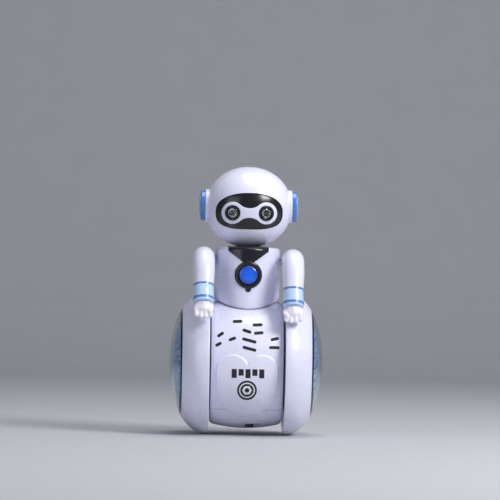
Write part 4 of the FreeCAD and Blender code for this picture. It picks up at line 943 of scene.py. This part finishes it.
def mask_curves(scale=1.0):
    """The visor's upper and lower outline as curves of x, shrunk by scale."""
    def reach(x, height, power):
        share = np.abs(x / (MASK_HALF * scale)) ** power
        return height * scale * np.maximum(1 - share, 0) ** (1 / power)

    return (lambda x: MASK_Z + reach(x, MASK_UP, MASK_UP_POWER),
            lambda x: MASK_Z - reach(x, MASK_DOWN, MASK_DOWN_POWER))


def goggle_curve(x):
    """Height of the goggle's outline above the eye line at x."""
    lobe, waist = LOBE_R, BRIDGE_HALF
    hollow = (EYE_X ** 2 + waist ** 2 - lobe ** 2) / (2 * (lobe - waist))
    meet = EYE_X * hollow / (lobe + hollow)
    ax = np.abs(x)
    bridge = waist + hollow - np.sqrt(np.maximum(hollow ** 2 - ax ** 2, 0))
    round_end = np.sqrt(np.maximum(lobe ** 2 - (ax - EYE_X) ** 2, 0))
    return np.where(ax < meet, bridge, round_end)


def make_head():
    up, down = mask_curves()
    x = MASK_HALF * np.sin(np.linspace(-math.pi / 2, math.pi / 2, 90))
    outline = list(zip(x, up(x))) + list(zip(x[::-1][1:-1], down(x[::-1][1:-1])))
    front = head_half("head_front", -1)
    boolean(front, [prism("mask_hole", outline, -40 * MM, -2.4 * MM)], SHELL_ANGLE)
    settle(front, "head", "white_shell", "head_front_shell")
    rear = head_half("head_rear", 1)
    boolean(rear, screw_wells(9.4, 84.9, 8.5 * MM), SHELL_ANGLE)
    settle(rear, "head", "white_shell", "head_rear_shell")
    shrunk = 0.995
    up, down = mask_curves(shrunk)
    visor = strip_patch("visor", MASK_HALF * shrunk, up, down, head_front_y, -0.35 * MM, 1.9 * MM,
                        black_gloss, 160, 60, 0.5 * MM)
    boolean(visor, eye_tools())
    settle(visor, "head", "black_gloss", "face_mask")
    goggle = strip_patch("goggle", EYE_X + LOBE_R, lambda x: EYE_Z + goggle_curve(x),
                         lambda x: EYE_Z - goggle_curve(x), head_front_y, 0.22 * MM, 0.5 * MM, white_plastic,
                         140, 44, 0.35 * MM)
    boolean(goggle, eye_tools())
    settle(goggle, "head", "white_shell", "eye_goggle")
    make_eyes()
    make_ears()


def eye_tools():
    """Two rods that open the visor and the goggle for the eyes."""
    return [rod_tool("eye", "Y", 2.55 * MM, -30 * MM, -5 * MM, (side * EYE_X, 0, EYE_Z)) for side in (-1, 1)]


# Turned pieces of each eye: name, slot, material and (radius, height) pairs in millimetres.
EYE_PIECES = (
    ("eye_ring", "black_gloss", black_gloss, ((3.25, -0.5), (3.25, 0.32), (3.12, 0.46), (2.9, 0.5),
                                              (2.62, 0.42), (2.45, 0.2), (2.38, -0.5), (3.25, -0.5))),
    ("eye_cup", "black_gloss", black_gloss, ((2.6, -1.7), (2.42, -0.35), (2.2, -0.6), (1.75, -1.25),
                                             (1.5, -1.35), (0.05, -1.35))),
    ("eye_reflector", "steel", chrome_ring, ((1.62, -1.6), (1.62, -1.1), (1.5, -1.0), (1.32, -1.0),
                                             (1.25, -1.1), (1.25, -1.6), (1.62, -1.6))),
    ("eye_lens", "clear_lens", lens_clear, ((2.36, -0.75), (2.36, -0.1), (2.2, 0.1), (1.8, 0.28),
                                            (1.2, 0.42), (0.6, 0.49), (0.05, 0.5))),
    ("eye_lamp", "clear_lens", led_clear, ((1.2, -1.5), (1.2, -1.0), (1.05, -0.8), (0.75, -0.66),
                                           (0.4, -0.6), (0.05, -0.58))),
)
EYE_NODES = {"left_eye_ring": ["eye_rings"], "left_eye_lens": ["eye_lenses"]}


def make_eyes():
    for side, x in (("right", -EYE_X), ("left", EYE_X)):
        def flat(px, pz, x=x):
            return head_front_y(x + (px - x) * 0.85, EYE_Z + (pz - EYE_Z) * 0.85)

        for label, slot, material, rows in EYE_PIECES:
            name = f"{side}_{label}"
            piece = disc_patch(name, (x, EYE_Z), mm_pairs(rows), flat, material, 72)
            settle(piece, "head", slot, *EYE_NODES.get(name, []))


def make_ears():
    mid_x, end_x = ear_high.x, EAR_CAP_X
    place = (0, 0, EAR_Z)
    boss_r, disc_r, cap_r, step = 6.9 * MM, 6.5 * MM, 4.8 * MM, 0.2 * MM
    boss = rounded([(15.5 * MM, 0), (15.5 * MM, boss_r), (EAR_BOSS_X, boss_r), (EAR_BOSS_X, 0)],
                   [0, 0, 0.45 * MM, 0])
    disc = rounded([(EAR_BOSS_X, 0), (EAR_BOSS_X, disc_r), (mid_x, disc_r), (mid_x, 0)],
                   [0, 0.2 * MM, 0.55 * MM, 0])
    cap = [(mid_x - step, 0), (mid_x - step, cap_r), (mid_x + step, cap_r)]
    cap += [(mid_x + step + (end_x - mid_x - step) * math.sin(t), 0.9 * MM + 3.85 * MM * math.cos(t) ** 0.6)
            for t in np.linspace(0.05, math.pi / 2 - 0.02, 10)] + [(end_x, 0)]
    for label, profile, material, slot, nodes in (
            ("ear_boss", boss, white_plastic, "white_shell", []),
            ("ear_disc", disc, ear_blue, "blue_button", ["ear_discs"]),
            ("ear_cap", cap, ear_pale, "ear_cap", ["ear_caps"])):
        piece = lathe(f"left_{label}", profile, place, material, 96)
        other = mirror_copy(piece, f"right_{label}")
        settle(piece, "head", slot, *nodes)
        settle(other, "head", slot)


# ---------------------------------------------------------------- arms

ARM_X = 18.6 * MM
ELBOW = point(0, -17.65, 73.6)
WRIST = point(0, -24.63, 54.43)
CUFF_START, CUFF_LENGTH = 12.86 * MM, 8.0 * MM
RIGHT_LIFT = math.radians(3.0)


def tube(name, centres, radii, material, around):
    """A closed tube along centres in the plane of X, closed with flat end faces."""
    count = len(centres)
    table = np.zeros((count, around, 3))
    turn = np.linspace(0, 2 * math.pi, around, endpoint=False)
    for k in range(count):
        ahead = centres[min(k + 1, count - 1)] - centres[max(k - 1, 0)]
        ahead.normalize()
        side = Vector((1, 0, 0))
        up = ahead.cross(side).normalized()
        for j, t in enumerate(turn):
            table[k, j] = centres[k] + (side * math.cos(t) + up * math.sin(t)) * radii[k]
    faces = quad_rows(count, around)
    faces.append(tuple(range(around - 1, -1, -1)))
    faces.append(tuple((count - 1) * around + c for c in range(around)))
    return solid(name, table.reshape(-1, 3), faces, material, 50)


def arm_path():
    """Smooth centre line of the arm from the shoulder round the elbow to the wrist."""
    start, bend, end, ease = SHOULDER, ELBOW, WRIST, 7.5 * MM
    before = bend + (start - bend).normalized() * ease
    after = bend + (end - bend).normalized() * ease
    points = [start.lerp(before, t) for t in np.linspace(0, 1, 8)]
    points += [before.lerp(bend, t).lerp(bend.lerp(after, t), t) for t in np.linspace(0, 1, 18)[1:]]
    points += [after.lerp(end, t) for t in np.linspace(0, 1, 10)[1:]]
    return points


def ended(points, radii, steps=10):
    """Adds a domed start to a tube's centres and radii."""
    back = (points[0] - points[1]).normalized()
    first = radii[0]
    caps = [(points[0] + back * first * math.sin(t), first * math.cos(t))
            for t in np.linspace(math.pi / 2 - 0.08, 0, steps)[:-1]]
    return [p for p, _ in caps] + points, [r for _, r in caps] + radii


def make_arm():
    line = arm_path()
    lengths = np.cumsum([0] + [(b - a).length for a, b in zip(line, line[1:])])
    share = lengths / lengths[-1]
    radii = list(np.interp(share, [0, 0.35, 0.62, 0.8, 1.0], np.array([4.5, 4.6, 4.55, 4.2, 3.4]) * MM))
    centres, radii = ended(line, radii)
    arm = tube("left_sleeve", centres, radii, white_plastic, 64)
    arm.data.transform(Matrix.Translation((ARM_X, 0, 0)))
    return arm


def cuff_frame():
    """Matrix whose Z runs down the forearm, with its origin at the cuff's top."""
    down = (WRIST - ELBOW).normalized()
    side = Vector((1, 0, 0))
    across = down.cross(side)
    turn = Matrix((side, across, down)).transposed().to_4x4()
    return Matrix.Translation(ELBOW + down * CUFF_START + Vector((ARM_X, 0, 0))) @ turn


def make_cuff():
    top, foot, length, bulge = 4.1 * MM, 4.35 * MM, CUFF_LENGTH, 0.14 * MM

    def at(s):
        return top + (foot - top) * s

    body = rounded([(0.9 * MM, 3.2 * MM), (0.9 * MM, at(0.1)), (length * 0.86, at(0.86)),
                    (length, at(1.0) - 0.15 * MM), (length, 3.2 * MM)], [0, 0.25 * MM, 0, 0.5 * MM, 0])
    sleeve = lathe("left_cuff_sleeve", body, (0, 0, 0), cuff_plastic, 72, "Z")
    high = rounded([(-0.5 * MM, 3.5 * MM), (-0.5 * MM, at(-0.04) + 0.1 * MM), (1.05 * MM, at(0.1) + 0.1 * MM),
                    (1.05 * MM, 3.5 * MM)], [0, 0.35 * MM, 0.35 * MM, 0])
    band_high = lathe("left_band_high", high, (0, 0, 0), band_plastic, 72, "Z")
    s = 0.74
    start, end = length * s, length * s + 1.1 * MM
    low = rounded([(start, 4.0 * MM), (start, at(s) + bulge), (end, at(s + 0.1) + bulge), (end, 4.0 * MM)],
                  [0, 0.3 * MM, 0.3 * MM, 0])
    band_low = lathe("left_band_low", low, (0, 0, 0), band_plastic, 72, "Z")
    for piece in (sleeve, band_high, band_low):
        piece.data.transform(cuff_frame())
    return sleeve, band_high, band_low


def ball_chain(name, spheres, material):
    """Spheres close together, for a remesh to melt into one form."""
    work = bmesh.new()
    for centre, radius in spheres:
        bmesh.ops.create_icosphere(work, subdivisions=2, radius=radius, matrix=Matrix.Translation(centre))
    mesh = bpy.data.meshes.new(name)
    work.to_mesh(mesh)
    work.free()
    item = add_to_scene(name, mesh)
    mesh.materials.append(material)
    return item


def chain(start, end, r_start, r_end, steps=10):
    """Balls from start to end, whose radii are given in millimetres."""
    return [(start.lerp(end, t), (r_start + (r_end - r_start) * t) * MM) for t in np.linspace(0, 1, steps)]


def make_hand():
    """A loosely closed fist in the cuff's frame, its four fingers curled to the front."""
    balls = chain(point(0, 0, -1.5), point(0, 0, 2.2), 3.5, 3.7)
    balls += chain(point(-1.2, 0.2, 2.4), point(1.4, 0.2, 2.4), 3.0, 3.0)
    for k, drop in enumerate((0.0, 0.45, 0.35, -0.25)):
        x = (k - 1.5) * 1.95
        knuckle = point(x, 1.4, 3.6 + drop)
        bend = point(x * 0.98, 0.9, 5.9 + drop)
        balls += chain(point(x * 0.9, 0.6, 1.6), knuckle, 1.25, 1.2, 6)
        balls += chain(knuckle, bend, 1.2, 1.12, 6)
        balls += chain(bend, point(x * 0.95, -1.3, 5.2 + drop), 1.12, 1.0, 6)
    thumb = point(-3.3, 1.6, 3.4)
    balls += chain(point(-3.0, -0.6, 0.6), thumb, 1.3, 1.15, 7)
    balls += chain(thumb, point(-2.5, 1.9, 4.6), 1.15, 1.0, 5)
    hand = ball_chain("left_fist", balls, hand_plastic)
    melt = hand.modifiers.new("melt", "REMESH")
    melt.mode = "VOXEL"
    melt.voxel_size = 0.22 * MM
    soften = hand.modifiers.new("soften", "SMOOTH")
    soften.factor, soften.iterations = 0.5, 5
    apply_modifiers(hand)
    hand.data.materials.clear()
    hand.data.materials.append(hand_plastic)
    length = Matrix.Translation((0, -0.25 * MM, CUFF_LENGTH))
    slim = Matrix.Diagonal((1, 0.86, 1, 1))
    lean = Matrix.Rotation(math.radians(-4), 4, "X")
    hand.data.transform(cuff_frame() @ length @ slim @ lean)
    shade(hand, 80)
    return hand


def make_arms():
    sleeve, high, low = make_cuff()
    pieces = ((make_arm(), "white_shell", ["arm"]), (sleeve, "blue_cuff", ["cuff"]), (high, "blue_cuff", []),
              (low, "blue_cuff", []), (make_hand(), "white_shell", ["hand"]))
    to_shoulder = Matrix.Translation(SHOULDER)
    lift = to_shoulder @ Matrix.Rotation(-RIGHT_LIFT, 4, "X") @ to_shoulder.inverted()
    for piece, slot, nodes in pieces:
        other = mirror_copy(piece, piece.name.replace("left", "right"))
        other.data.transform(lift)
        settle(piece, "left_arm", slot, *["left_" + n for n in nodes])
        settle(other, "right_arm", slot, *["right_" + n for n in nodes])


# ---------------------------------------------------------------- printed marks

def print_patch(name, high, low, centre_x, half_width, material, lift=0.03 * MM):
    """A thin printed mark on the heart panel between two curves of x."""
    patch = strip_patch(name, half_width, high, low,
                        lambda x, z: barrel_front_y(x + centre_x, z) - heart_height(z),
                        lift + 0.05 * MM, 0.1 * MM, material, 24, 12, 0.05 * MM)
    patch.data.transform(Matrix.Translation((centre_x, 0, 0)))
    return patch


def make_bars():
    """Five plain bars, in place of lettering."""
    width, pitch, base, top = 2.1 * MM, 2.85 * MM, 24.5 * MM, 28.2 * MM
    bars = []
    for k, shorter in enumerate((0, 1.0, 0, 1.0, 0)):
        bars.append(print_patch(f"bar_{k}", level(top), level(base + shorter * MM),
                                0.25 * MM + (k - 2) * pitch, width / 2, print_black))
    marks = join("belly_bars", bars)
    shade(marks)
    settle(marks, "body", "black_gloss")


def make_badge():
    """A six-sided nut in a ring, in place of a badge."""
    z, r = 19.4 * MM, 4.1 * MM

    def mark(name, radius, material, lift, height):
        return print_patch(name, lambda x: z + height(x, radius), lambda x: z - height(x, radius), 0.0,
                           radius, material, lift * MM)

    def arc(x, radius):
        return np.sqrt(np.maximum(radius ** 2 - x ** 2, 0))

    def hexagon(x, radius):
        return np.minimum(radius * 0.866, (radius - np.abs(x)) * 1.732)

    black = [mark("badge_disc", r, print_black, 0.03, arc),
             mark("badge_dot", 0.95 * MM, print_black, 0.11, arc),
             mark("badge_field", r * 0.68, print_black, 0.07, arc)]
    white = [mark("badge_line", r * 0.80, print_white, 0.05, arc),
             mark("badge_nut", r * 0.5, print_white, 0.09, hexagon)]
    for name, items, slot in (("badge_black", black, "black_gloss"), ("badge_white", white, "white_shell")):
        piece = join(name, items)
        shade(piece)
        settle(piece, "body", slot)


# ---------------------------------------------------------------- studio

def make_stage():
    """A pale sweep: floor that curves up into a backdrop behind the robot."""
    half, back, rise, bend = 1.6, 0.7, 1.4, 0.35
    path = [(-1.6, 0.0)] + [(y, 0.0) for y in np.linspace(-1.2, back, 6)]
    path += [(back + bend * math.sin(t), bend * (1 - math.cos(t)))
             for t in np.linspace(0, math.pi / 2, 16)[1:]]
    path += [(back + bend, z) for z in np.linspace(bend, rise, 4)[1:]]
    points = [(side * half, y, z) for y, z in path for side in (-1, 1)]
    faces = [(2 * k, 2 * k + 1, 2 * k + 3, 2 * k + 2) for k in range(len(path) - 1)]
    sweep = moulded_plastic("sweep_paper", (0.50, 0.51, 0.54), 0.7, spread=0.01, bump=0.0)
    floor = make_object("floor_sweep", points, faces, sweep)


def add_light(name, place, aim, size, power, colour=(1, 1, 1)):
    data = bpy.data.lights.new(name, "AREA")
    data.shape = "RECTANGLE"
    data.size, data.size_y = size
    data.energy = power
    data.color = colour
    lamp = add_to_scene(name, data)
    lamp.location = place
    lamp.rotation_euler = (Vector(aim) - Vector(place)).to_track_quat("-Z", "Y").to_euler()
    return lamp


def make_studio():
    make_stage()
    world = bpy.data.worlds.new("studio")
    bpy.context.scene.world = world
    world.use_nodes = True
    world.node_tree.nodes["Background"].inputs["Color"].default_value = (0.80, 0.84, 0.95, 1)
    world.node_tree.nodes["Background"].inputs["Strength"].default_value = 0.22
    bpy.context.scene.view_settings.view_transform = "Standard"
    middle = (0, 0, 0.06)
    add_light("key", (0.5, -0.45, 0.5), middle, (0.30, 0.30), 5.2)
    add_light("fill", (-0.6, -0.6, 0.25), middle, (0.5, 0.5), 1.1, (0.90, 0.93, 1.0))
    add_light("top", (0.1, 0.0, 0.8), middle, (0.5, 0.4), 3.0)
    camera = bpy.data.cameras.new("camera")
    camera.lens, camera.sensor_width = 274.5, 36
    item = add_to_scene("camera", camera)
    item.location = (-0.041, -1.6, 77.4 * MM)
    item.rotation_euler = (math.radians(90), math.radians(-1.0), math.radians(-1.5))
    bpy.context.scene.camera = item


dress_cad_nodes()
make_wheels()
make_barrel()
make_torso()
make_head()
make_arms()
make_bars()
make_badge()
make_studio()
